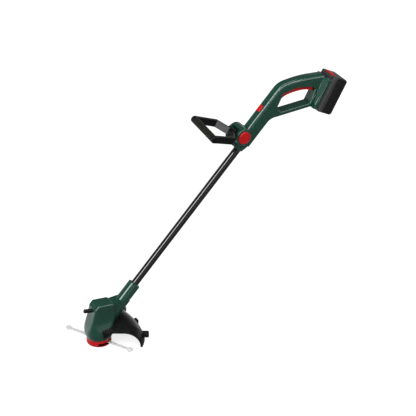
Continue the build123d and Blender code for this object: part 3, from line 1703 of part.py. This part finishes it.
with BuildPart() as pack_board:
    with BuildSketch(pack_side):
        with Locations((board_n, board_low + board_len / 2)):
            Rectangle(board_t, board_len)
    extrude(amount=board_half, both=True)
keep(pack_board, "pack_board")

blade_ys = (-terminal_half * 0.66, 0, terminal_half * 0.66)
clip_low = rail_low + 12

with BuildPart() as pack_contacts:
    with BuildSketch(pack_side):
        with Locations(((board_n + pack_wall) / 2, clip_low + clip_len / 2)):
            Rectangle(board_n - board_t - 2 * fit_gap - pack_wall, clip_len)
    extrude(amount=terminal_half, both=True)
    for y in blade_ys:
        for side in (-1, 1):
            with BuildSketch(pack_side.offset(-y - side * (blade_half + clip_gap + clip_t / 2))):
                with Locations((-rail_rise / 2 + 3, clip_low + clip_len / 2)):
                    Rectangle(rail_rise + 2, clip_len)
            extrude(amount=clip_t / 2, both=True)
keep(pack_contacts, "pack_contacts")

with BuildPart() as terminal_block:
    with BuildSketch(pack_side):
        with Locations((-(rail_rise + 3) / 2, channel_low + fit_gap + terminal_t / 2)):
            Rectangle(channel_n - 3 - fit_gap, terminal_t)
    extrude(amount=terminal_half, both=True)
    with BuildSketch(pack_side):
        with Locations((-channel_n - wall / 2, channel_low + terminal_tail_t)):
            Rectangle(wall + 3, terminal_tail_h)
    extrude(amount=terminal_tail_half, both=True)
keep(terminal_block, "terminal_block")

terminal_top = channel_low + fit_gap + terminal_t

with BuildPart() as terminal_blades:
    for y in blade_ys:
        with BuildSketch(pack_side.offset(-y)):
            with Locations((-rail_rise / 2 - 1, terminal_top + 0.1 + terminal_reach / 2)):
                Rectangle(terminal_blade_deep, terminal_reach)
        extrude(amount=blade_half, both=True)
keep(terminal_blades, "terminal_blades")

with BuildPart() as release:
    with BuildSketch(pack_side):
        with Locations((release_n, pack_len + release_out - release_t / 2)):
            Rectangle(release_deep, release_t)
    extrude(amount=release_w / 2, both=True)
    fillet(faces().sort_by(Axis((0, 0, 0), tuple(pack_up_dir)))[-1].edges(), radius=release_edge_r)
    with BuildSketch(across_pack(pack_len + release_out - release_t)):
        with Locations((0, release_n)):
            Circle(release_spring_r + 1)
    extrude(amount=release_recess, mode=Mode.SUBTRACT)
keep(release, "release_button")

release_floor = pack_len - release_in
release_plane = Plane(
    origin=pack_side.from_local_coords((release_n, release_floor + fit_gap, 0)),
    z_dir=pack_up_dir,
)
release_rest_gap = release_in + release_out - release_t
release_spring_len = release_rest_gap + release_recess - release_press - 2 * fit_gap
keep(coil(release_plane, release_spring_r, 0.4, release_spring_len, 2), "release_spring")


# ====================================================================== leads
def lead(name, y, points):
    """A wire that follows a bent path at a constant y."""
    with BuildPart() as wire:
        with BuildLine() as path:
            FilletPolyline(*[(p[0], y, p[2]) for p in points], radius=lead_bend)
        with BuildSketch(Plane(origin=path.line @ 0, z_dir=path.line % 0)):
            Circle(lead_r)
        sweep()
    keep(wire, name)


def foot_point(n, t):
    """A point at a depth n and a height t in the pack's side plane."""
    world = pack_side.from_local_coords((n, t, 0))
    return (world.X, world.Y, world.Z)


def grip_xyz(a, b):
    world = grip_point(a, b)
    return (world.X, world.Y, world.Z)


tail_n = -channel_n - wall - 2.3
motor_end = (12.0, 0, motor_high + end_cap_t + 0.2)
into_head = [on_tube(neck_end - tube_in_neck - 14), *lead_in_head, motor_end]
lead("lead_black", -lead_side / 2, [
    foot_point(tail_n - 0.2, channel_low + terminal_tail_t),
    grip_xyz(base_end_a - 18, base_b + 7),
    grip_xyz(loop_a, base_b + 7),
    grip_xyz(*from_tube(base_s - 20, 0)),
    *into_head,
])
lead("lead_red_supply", lead_side, [
    foot_point(tail_n - 0.2, channel_low + terminal_tail_t),
    foot_point(-lead_deep, foot_knee),
    foot_point(-lead_deep, foot_high - 16),
    grip_xyz(tail_a - 30, tail_b - 1),
    grip_xyz(plunger_a + switch_len / 2 + tab_len + fit_gap, lead_b),
])
lead("lead_red_switched", lead_side, [
    grip_xyz(plunger_a - switch_len / 2 - tab_len - fit_gap, lead_b),
    grip_xyz(trigger_pin_a - 2, trigger_top + 9),
    grip_xyz(trigger_pin_a - 8.5, trigger_pin_b + 3),
    grip_xyz(loop_a - 3, brow_b - 20),
    grip_xyz(*from_tube(base_s - 8, 0)),
    *into_head,
])
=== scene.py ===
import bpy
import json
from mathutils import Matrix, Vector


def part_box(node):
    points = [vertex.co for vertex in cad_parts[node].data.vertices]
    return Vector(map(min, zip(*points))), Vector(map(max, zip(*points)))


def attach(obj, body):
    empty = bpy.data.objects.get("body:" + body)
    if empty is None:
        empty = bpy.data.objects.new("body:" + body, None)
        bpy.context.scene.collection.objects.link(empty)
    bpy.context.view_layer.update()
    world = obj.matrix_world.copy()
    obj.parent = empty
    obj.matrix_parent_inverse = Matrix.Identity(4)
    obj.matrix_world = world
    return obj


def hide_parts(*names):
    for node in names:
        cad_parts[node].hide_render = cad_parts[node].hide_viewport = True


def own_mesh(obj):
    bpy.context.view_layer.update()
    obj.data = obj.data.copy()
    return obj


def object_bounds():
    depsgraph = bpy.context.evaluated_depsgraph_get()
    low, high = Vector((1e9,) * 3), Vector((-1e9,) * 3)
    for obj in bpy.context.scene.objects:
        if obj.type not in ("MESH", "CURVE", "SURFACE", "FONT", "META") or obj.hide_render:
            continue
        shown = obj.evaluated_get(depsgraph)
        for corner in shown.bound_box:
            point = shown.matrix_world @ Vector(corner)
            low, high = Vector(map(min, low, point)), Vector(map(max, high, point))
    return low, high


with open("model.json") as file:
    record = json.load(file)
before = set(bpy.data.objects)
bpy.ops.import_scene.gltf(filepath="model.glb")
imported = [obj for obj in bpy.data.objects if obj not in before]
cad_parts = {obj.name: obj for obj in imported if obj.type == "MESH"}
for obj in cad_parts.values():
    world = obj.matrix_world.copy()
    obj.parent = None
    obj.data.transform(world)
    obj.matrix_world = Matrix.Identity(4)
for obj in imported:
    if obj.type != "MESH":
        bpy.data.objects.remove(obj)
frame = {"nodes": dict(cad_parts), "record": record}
cad_box = [list(corner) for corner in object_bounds()]

import json
import math

import bmesh
import bpy
from mathutils import Matrix, Vector
from mathutils.bvhtree import BVHTree

nodes = frame["nodes"]
slot_of = {part["node"]: part["material_slot"] for part in frame["record"]["subparts"]}


# ---------------------------------------------------------------- materials
# Colours are linear RGB, noise scales are per metre, and depths are metres.
NOISE_ROUGHNESS = 0.55


class Surface:
    """A material's node tree, built up step by step around one shader."""

    def __init__(self, name, color, roughness, metallic=0.0, specular=0.5):
        self.material = bpy.data.materials.new(name)
        self.material.use_nodes = True
        self.tree = self.material.node_tree
        self.shader = self.tree.nodes["Principled BSDF"]
        self.coords = self.add("ShaderNodeTexCoord").outputs["Object"]
        self.base_color = color
        self.base_rough = roughness
        self.color = None
        self.rough = None
        self.height = None
        self.set("Base Color", (*color, 1.0))
        self.set("Roughness", roughness)
        self.set("Metallic", metallic)
        self.set("Specular IOR Level", specular)

    def add(self, kind, **values):
        node = self.tree.nodes.new(kind)
        for key, value in values.items():
            setattr(node, key, value)
        return node

    def set(self, socket, value):
        self.shader.inputs[socket].default_value = value

    def link(self, a, b):
        self.tree.links.new(a, b)

    def noise(self, scale, detail=3.0, stretch=(1, 1, 1)):
        mapping = self.add("ShaderNodeMapping")
        mapping.inputs["Scale"].default_value = stretch
        self.link(self.coords, mapping.inputs["Vector"])
        node = self.add("ShaderNodeTexNoise")
        node.inputs["Scale"].default_value = scale
        node.inputs["Detail"].default_value = detail
        node.inputs["Roughness"].default_value = NOISE_ROUGHNESS
        self.link(mapping.outputs["Vector"], node.inputs["Vector"])
        return node.outputs["Fac"]

    def remap(self, value, low, high):
        """0 at low and below, 1 at high and above."""
        node = self.add("ShaderNodeMapRange")
        node.inputs["From Min"].default_value = low
        node.inputs["From Max"].default_value = high
        self.link(value, node.inputs["Value"])
        return node.outputs["Result"]

    def patches(self, scale, low, high, detail=3.0, stretch=(1, 1, 1)):
        """Soft patches of noise: none where it is below low, full where it is above high."""
        return self.remap(self.noise(scale, detail, stretch), low, high)

    def edges(self, low, high):
        """High on outer edges, from the surface's own curvature."""
        geometry = self.add("ShaderNodeNewGeometry")
        return self.remap(geometry.outputs["Pointiness"], low, high)

    def math(self, operation, a, b):
        node = self.add("ShaderNodeMath", operation=operation)
        for socket, value in zip(node.inputs, (a, b)):
            if isinstance(value, (int, float)):
                socket.default_value = value
            else:
                self.link(value, socket)
        return node.outputs[0]

    def tint(self, mask, amount, color):
        """Moves the colour by an amount towards another where the mask is high."""
        factor = self.math("MULTIPLY", mask, amount)
        node = self.add("ShaderNodeMix", data_type="RGBA")
        if self.color is None:
            node.inputs["A"].default_value = (*self.base_color, 1.0)
        else:
            self.link(self.color, node.inputs["A"])
        node.inputs["B"].default_value = (*color, 1.0)
        self.link(factor, node.inputs["Factor"])
        self.color = node.outputs["Result"]

    def roughen(self, mask, amount):
        part = self.math("MULTIPLY", mask, amount)
        start = self.base_rough if self.rough is None else self.rough
        self.rough = self.math("ADD", part, start)

    def emboss(self, value, depth):
        self.height = self.math("MULTIPLY", value, depth)

    def coat(self, weight, roughness):
        self.set("Coat Weight", weight)
        self.set("Coat Roughness", roughness)

    def finish(self):
        bump = self.add("ShaderNodeBump")
        bump.inputs["Strength"].default_value = 1.0
        bump.inputs["Distance"].default_value = 1.0
        self.link(self.height, bump.inputs["Height"])
        self.link(bump.outputs["Normal"], self.shader.inputs["Normal"])
        self.link(self.color, self.shader.inputs["Base Color"])
        self.link(self.rough, self.shader.inputs["Roughness"])
        return self.material


def shade(color, factor):
    return tuple(min(1.0, c * factor) for c in color)


def plastic(name, color, roughness, grain=900.0, grain_depth=4e-6, wear=0.2, mottle=0.18,
            specular=0.5, coat=0.0):
    """Moulded plastic: a fine grained skin, faint flow mottling and scuffed edges."""
    s = Surface(name, color, roughness, specular=specular)
    s.tint(s.patches(14.0, 0.35, 0.7), mottle, shade(color, 1.5))
    s.tint(s.patches(160.0, 0.45, 0.75, detail=2.0), 0.10, shade(color, 0.6))
    worn = s.math("MULTIPLY", s.edges(0.52, 0.62), s.patches(90.0, 0.4, 0.7))
    s.tint(worn, wear, tuple(0.6 * c + 0.06 for c in color))
    s.roughen(s.patches(35.0, 0.3, 0.8), 0.05)
    s.roughen(worn, 0.1)
    s.emboss(s.noise(grain, detail=2.0), grain_depth)
    if coat:
        s.coat(coat, roughness=0.1)
    return s.finish()


def metal(name, color, roughness, stretch=(1, 1, 1), metallic=1.0):
    """Bare metal with fine drawn lines and a few dull patches."""
    s = Surface(name, color, roughness, metallic)
    lines = s.noise(500.0, stretch=stretch)
    s.tint(s.remap(lines, 0.35, 0.75), 0.35, shade(color, 0.6))
    s.roughen(s.patches(60.0, 0.35, 0.75), 0.14)
    s.emboss(lines, 8e-6)
    return s.finish()


def painted_tube(name):
    """Powder-coated tube: slight orange peel and hairline scratches along it."""
    s = Surface(name, (0.0025, 0.0025, 0.0027), 0.1)
    s.coat(1.0, roughness=0.08)
    scratches = s.patches(420.0, 0.62, 0.74, detail=2.0, stretch=(0.06, 1.0, 0.06))
    s.tint(scratches, 0.12, (0.03, 0.03, 0.03))
    s.tint(s.patches(20.0, 0.4, 0.7), 0.3, (0.007, 0.007, 0.0075))
    s.roughen(scratches, 0.06)
    s.roughen(s.patches(45.0, 0.4, 0.8), 0.03)
    s.emboss(s.noise(320.0, detail=1.0), 3e-6)
    return s.finish()


def rubber(name, color):
    """Soft grip and cable sheath: matt, with a fine grain."""
    s = Surface(name, color, 0.38, specular=0.35)
    s.tint(s.patches(40.0, 0.4, 0.7), 0.4, shade(color, 1.5))
    s.roughen(s.patches(70.0, 0.3, 0.8), 0.12)
    s.emboss(s.noise(1200.0, detail=2.0), 1.5e-5)
    return s.finish()


def nylon(name):
    """Pale nylon of the blades. It is opaque here, and half clear on the real object."""
    s = Surface(name, (0.60, 0.61, 0.60), 0.3, specular=0.4)
    s.tint(s.patches(60.0, 0.4, 0.75), 0.3, (0.5, 0.51, 0.5))
    s.roughen(s.patches(200.0, 0.35, 0.75), 0.15)
    s.emboss(s.noise(500.0, detail=2.0), 1e-5)
    return s.finish()


GREEN = (0.0045, 0.040, 0.0255)
BLACK = (0.004, 0.004, 0.0042)
RED = (0.42, 0.002, 0.0035)
looks = {
    "green_shell": plastic("green_shell", GREEN, 0.2, wear=0.12, grain_depth=1.5e-6, coat=0.7),
    "black_tube": painted_tube("black_tube"),
    "black_plastic": plastic("black_plastic", BLACK, 0.26, grain=700.0, specular=0.3),
    "grip_rubber": rubber("grip_rubber", (0.006, 0.006, 0.0042)),
    "red_plastic": plastic("red_plastic", RED, 0.26, wear=0.12, mottle=0.1, specular=0.4),
    "cup_black": plastic("cup_black", BLACK, 0.3, wear=0.5),
    "blade_plastic": nylon("blade_plastic"),
    "steel": metal("steel", (0.55, 0.56, 0.57), 0.3),
    "black_steel": metal("black_steel", (0.06, 0.06, 0.062), 0.35),
    "motor_steel": metal("motor_steel", (0.5, 0.51, 0.52), 0.28, stretch=(1, 1, 0.1)),
    "magnet_grey": metal("magnet_grey", (0.06, 0.06, 0.065), 0.6, metallic=0.2),
    "copper": metal("copper", (0.62, 0.25, 0.12), 0.32, stretch=(1, 1, 0.2)),
    "bronze": metal("bronze", (0.5, 0.32, 0.13), 0.45),
    "carbon": plastic("carbon", (0.02, 0.02, 0.02), 0.7),
    "motor_plastic": plastic("motor_plastic", (0.02, 0.02, 0.022), 0.5),
    "plunger_white": plastic("plunger_white", (0.75, 0.74, 0.7), 0.4),
    "contact_brass": metal("contact_brass", (0.7, 0.52, 0.2), 0.3),
    "wire_black": rubber("wire_black", (0.015, 0.015, 0.015)),
    "wire_red": rubber("wire_red", (0.45, 0.01, 0.01)),
    "pack_black": plastic(
        "pack_black", (0.007, 0.007, 0.0074), 0.26, grain=600.0, specular=0.35
    ),
    "pack_grey": plastic("pack_grey", (0.032, 0.032, 0.033), 0.3, grain=600.0, specular=0.45),
    "cell_sleeve": plastic("cell_sleeve", (0.03, 0.2, 0.3), 0.3),
    "holder_white": plastic("holder_white", (0.65, 0.65, 0.6), 0.5),
    "nickel": metal("nickel", (0.66, 0.63, 0.57), 0.25),
    "board_green": plastic("board_green", (0.015, 0.12, 0.04), 0.4),
}

for name, node in nodes.items():
    material = looks[slot_of[name]]
    if not node.material_slots:
        node.data.materials.append(material)
    for place in node.material_slots:
        place.material = material


# ------------------------------------------------------------- added pieces
BEAD_R = 0.0017
BEAD_STEPS = 40
BEAD_SIDES = 8
BEAD_TAPER = 6.0        # a bead is full from a sixth of its length on
BEAD_TIP = 0.25         # its thickness at the very ends, as a share of the full one
RAY_START = 0.2         # outside the shells, where the rays towards their sides start
# the two edges of the flare from the grip to the foot, as (x, z) at the top and at the bottom
FLARE_LINES = (((0.8465, 0.7475), (0.8065, 0.6725)), ((0.8600, 0.7440), (0.8180, 0.6700)))


def link_piece(name, mesh, material_slot, body):
    piece = bpy.data.objects.new(name, mesh)
    bpy.context.scene.collection.objects.link(piece)
    mesh.materials.clear()
    mesh.materials.append(looks[material_slot])
    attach(piece, body)
    return piece


def side_path(shell, side, top, bottom):
    """Places down a line on the shell's side, each with the bead's thickness there."""
    tree = BVHTree.FromObject(nodes[shell], bpy.context.evaluated_depsgraph_get())
    path = []
    for i in range(BEAD_STEPS + 1):
        t = i / BEAD_STEPS
        x = top[0] + (bottom[0] - top[0]) * t
        z = top[1] + (bottom[1] - top[1]) * t
        hit = tree.ray_cast(Vector((x, side * RAY_START, z)), Vector((0, -side, 0)))[0]
        if hit is not None:
            taper = min(1.0, BEAD_TAPER * t, BEAD_TAPER * (1 - t))
            path.append((Vector((x, hit.y, z)), max(BEAD_TIP, taper)))
    return path


def bead(name, shell, side, top, bottom):
    """A round line that lies half sunk in the shell's side and tapers at its ends."""
    path = side_path(shell, side, top, bottom)
    run = (path[-1][0] - path[0][0]).normalized()
    out = Vector((0, side, 0))
    across = run.cross(out).normalized()
    builder = bmesh.new()
    rings = []
    for place, share in path:
        ring = []
        for k in range(BEAD_SIDES):
            turn = 2 * math.pi * k / BEAD_SIDES
            offset = across * math.cos(turn) + out * math.sin(turn)
            ring.append(builder.verts.new(place + offset * BEAD_R * share))
        rings.append(ring)
    for first, second in zip(rings, rings[1:]):
        for k in range(BEAD_SIDES):
            n = (k + 1) % BEAD_SIDES
            builder.faces.new((first[k], first[n], second[n], second[k]))
    builder.faces.new(rings[0])
    builder.faces.new(rings[-1])
    bmesh.ops.recalc_face_normals(builder, faces=builder.faces)
    for face in builder.faces:
        face.smooth = True
    mesh = bpy.data.meshes.new(name)
    builder.to_mesh(mesh)
    builder.free()
    link_piece(name, mesh, "green_shell", "body")


for number, (top, bottom) in enumerate(FLARE_LINES):
    bead(f"flare_bead_near_{number}", "handle_shell_near", -1, top, bottom)
    bead(f"flare_bead_far_{number}", "handle_shell_far", 1, top, bottom)

# the trigger's spring, as a piece with a mesh of its own in place of the imported one
spring_mesh = nodes["trigger_spring"].data.copy()
spring = link_piece("trigger_spring_soft", spring_mesh, slot_of["trigger_spring"], "body")
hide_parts("trigger_spring")
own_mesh(spring)


# -------------------------------------------------------------------- stage
FLOOR_REACH = 30.0
FLOOR_GAP = 0.0005      # keeps the floor just clear of the cup's underside
FLOOR_ALBEDO = 0.35     # as the camera sees it, under the glow
BOUNCE_ALBEDO = 0.6     # as it lights the object from below


def combine(tree, operation, first, second):
    node = tree.nodes.new("ShaderNodeMath")
    node.operation = operation
    tree.links.new(first, node.inputs[0])
    tree.links.new(second, node.inputs[1])
    return node.outputs[0]


def fade(tree, value, low, high, start, end):
    """A smooth change from start to end as the value goes from low to high."""
    node = tree.nodes.new("ShaderNodeMapRange")
    node.interpolation_type = "SMOOTHSTEP"
    sockets = {"From Min": low, "From Max": high, "To Min": start, "To Max": end}
    for socket, number in sockets.items():
        node.inputs[socket].default_value = number
    tree.links.new(value, node.inputs["Value"])
    return node.outputs["Result"]


def diffuse(tree, albedo):
    node = tree.nodes.new("ShaderNodeBsdfDiffuse")
    node.inputs["Color"].default_value = (albedo, albedo, albedo, 1)
    return node.outputs[0]


def glow(tree, strength):
    node = tree.nodes.new("ShaderNodeEmission")
    tree.links.new(strength, node.inputs["Strength"])
    return node.outputs[0]


def background(tree):
    """A white background's node."""
    node = tree.nodes.new("ShaderNodeBackground")
    node.inputs["Color"].default_value = (1, 1, 1, 1)
    return node


def blend_shaders(tree, factor, first, second):
    node = tree.nodes.new("ShaderNodeMixShader")
    for socket, value in enumerate((factor, first, second)):
        tree.links.new(value, node.inputs[socket])
    return node.outputs[0]


def floor_material():
    """White to straight rays, with the object's shadow. Mirrors see it white close behind it."""
    material = bpy.data.materials.new("floor_white")
    material.use_nodes = True
    tree = material.node_tree
    tree.nodes.clear()
    out = tree.nodes.new("ShaderNodeOutputMaterial")
    path = tree.nodes.new("ShaderNodeLightPath").outputs
    coords = tree.nodes.new("ShaderNodeTexCoord").outputs["Object"]
    split = tree.nodes.new("ShaderNodeSeparateXYZ")
    tree.links.new(coords, split.inputs[0])
    away = tree.nodes.new("ShaderNodeVectorMath")
    away.operation = "LENGTH"
    tree.links.new(coords, away.inputs[0])
    shown = tree.nodes.new("ShaderNodeAddShader")
    whiter = fade(tree, away.outputs["Value"], low=1.0, high=2.4, start=0.8, end=1.0)
    tree.links.new(diffuse(tree, FLOOR_ALBEDO), shown.inputs[0])
    tree.links.new(glow(tree, whiter), shown.inputs[1])
    near_side = fade(tree, split.outputs["Y"], low=-0.05, high=0.12, start=0.15, end=1.0)
    far_side = fade(tree, split.outputs["Y"], low=0.3, high=0.55, start=1.0, end=0.25)
    mirrored = glow(tree, combine(tree, "MULTIPLY", near_side, far_side))
    mirror_rays = combine(tree, "MAXIMUM", path["Is Glossy Ray"], path["Is Transmission Ray"])
    bounced = blend_shaders(tree, mirror_rays, diffuse(tree, BOUNCE_ALBEDO), mirrored)
    surface = blend_shaders(tree, path["Is Camera Ray"], bounced, shown.outputs[0])
    tree.links.new(surface, out.inputs["Surface"])
    return material


def studio_world():
    """A pale backdrop all round that fades into a dim ceiling; straight rays see it white."""
    world = bpy.data.worlds.new("studio")
    bpy.context.scene.world = world
    world.use_nodes = True
    tree = world.node_tree
    tree.nodes.clear()
    out = tree.nodes.new("ShaderNodeOutputWorld")
    split = tree.nodes.new("ShaderNodeSeparateXYZ")
    coords = tree.nodes.new("ShaderNodeTexCoord").outputs["Generated"]
    tree.links.new(coords, split.inputs[0])
    room = background(tree)
    dimming = fade(tree, split.outputs["Z"], low=0.1, high=0.42, start=0.55, end=0.08)
    tree.links.new(dimming, room.inputs["Strength"])
    seen = background(tree)
    seen.inputs["Strength"].default_value = 1.0
    straight = tree.nodes.new("ShaderNodeLightPath").outputs["Is Camera Ray"]
    mixed = blend_shaders(tree, straight, room.outputs[0], seen.outputs[0])
    tree.links.new(mixed, out.inputs["Surface"])


floor_mesh = bpy.data.meshes.new("floor")
corners = [(x * FLOOR_REACH, y * FLOOR_REACH, 0) for x, y in ((-1, -1), (1, -1), (1, 1), (-1, 1))]
floor_mesh.from_pydata(corners, [], [(0, 1, 2, 3)])
floor_mesh.materials.append(floor_material())
floor = bpy.data.objects.new("floor", floor_mesh)
floor.location.z = cad_box[0][2] - FLOOR_GAP
bpy.context.scene.collection.objects.link(floor)
studio_world()

middle = (Vector(cad_box[0]) + Vector(cad_box[1])) / 2
tube_low, tube_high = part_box("shaft_tube")
tube_line = Vector((tube_high.x - tube_low.x, 0, tube_high.z - tube_low.z)).normalized()


def lamp(name, direction, distance, length, width, power, along):
    """A soft box seen from the object's middle in a direction, with its length along a line."""
    back = Vector(direction).normalized()
    across = Vector(along).cross(back).normalized()
    run = back.cross(across)
    data = bpy.data.lights.new(name, "AREA")
    data.shape = "RECTANGLE"
    data.size, data.size_y = length, width
    data.energy = power
    turn = Matrix((run, -across, back)).transposed()
    light = bpy.data.objects.new(name, data)
    light.matrix_world = Matrix.Translation(middle + back * distance) @ turn.to_4x4()
    bpy.context.scene.collection.objects.link(light)


lamp("top", (0.1, 0.1, 1.0), distance=3.0, length=2.6, width=0.8, power=20.0, along=(1, 0, 0))
lamp("fill", (2.6, -2.4, 1.2), distance=3.7, length=1.2, width=1.8, power=16.0, along=(0, 0, 1))
# the two strips that draw the long highlights on the tube and on the grip
lamp("tube_strip", (-0.748, -0.205, 0.635), distance=2.0, length=3.0, width=0.7, power=52.0,
     along=tube_line)
lamp("grip_strip", (0.08, -0.64, 0.77), distance=2.2, length=2.6, width=0.5, power=28.0,
     along=(1, 0, 0.2))


# ------------------------------------------------------------------- camera
SENSOR_WIDTH = 36.0     # millimetres, as the lens is
LENS = 155.77
CLIP_END = 100.0
CAMERA_PLACE = (-2.1357, -4.2523, 3.6008)
CAMERA_RISE = 33        # degrees above the floor
CAMERA_TURN = -31       # degrees about the upright axis, from facing the near side

camera_data = bpy.data.cameras.new("camera")
camera_data.sensor_width = SENSOR_WIDTH
camera_data.lens = LENS
camera_data.clip_end = CLIP_END
camera = bpy.data.objects.new("camera", camera_data)
camera.location = CAMERA_PLACE
camera.rotation_euler = (math.radians(90 - CAMERA_RISE), 0.0, math.radians(CAMERA_TURN))
bpy.context.scene.collection.objects.link(camera)
bpy.context.scene.camera = camera
bpy.context.scene.view_settings.view_transform = "Standard"
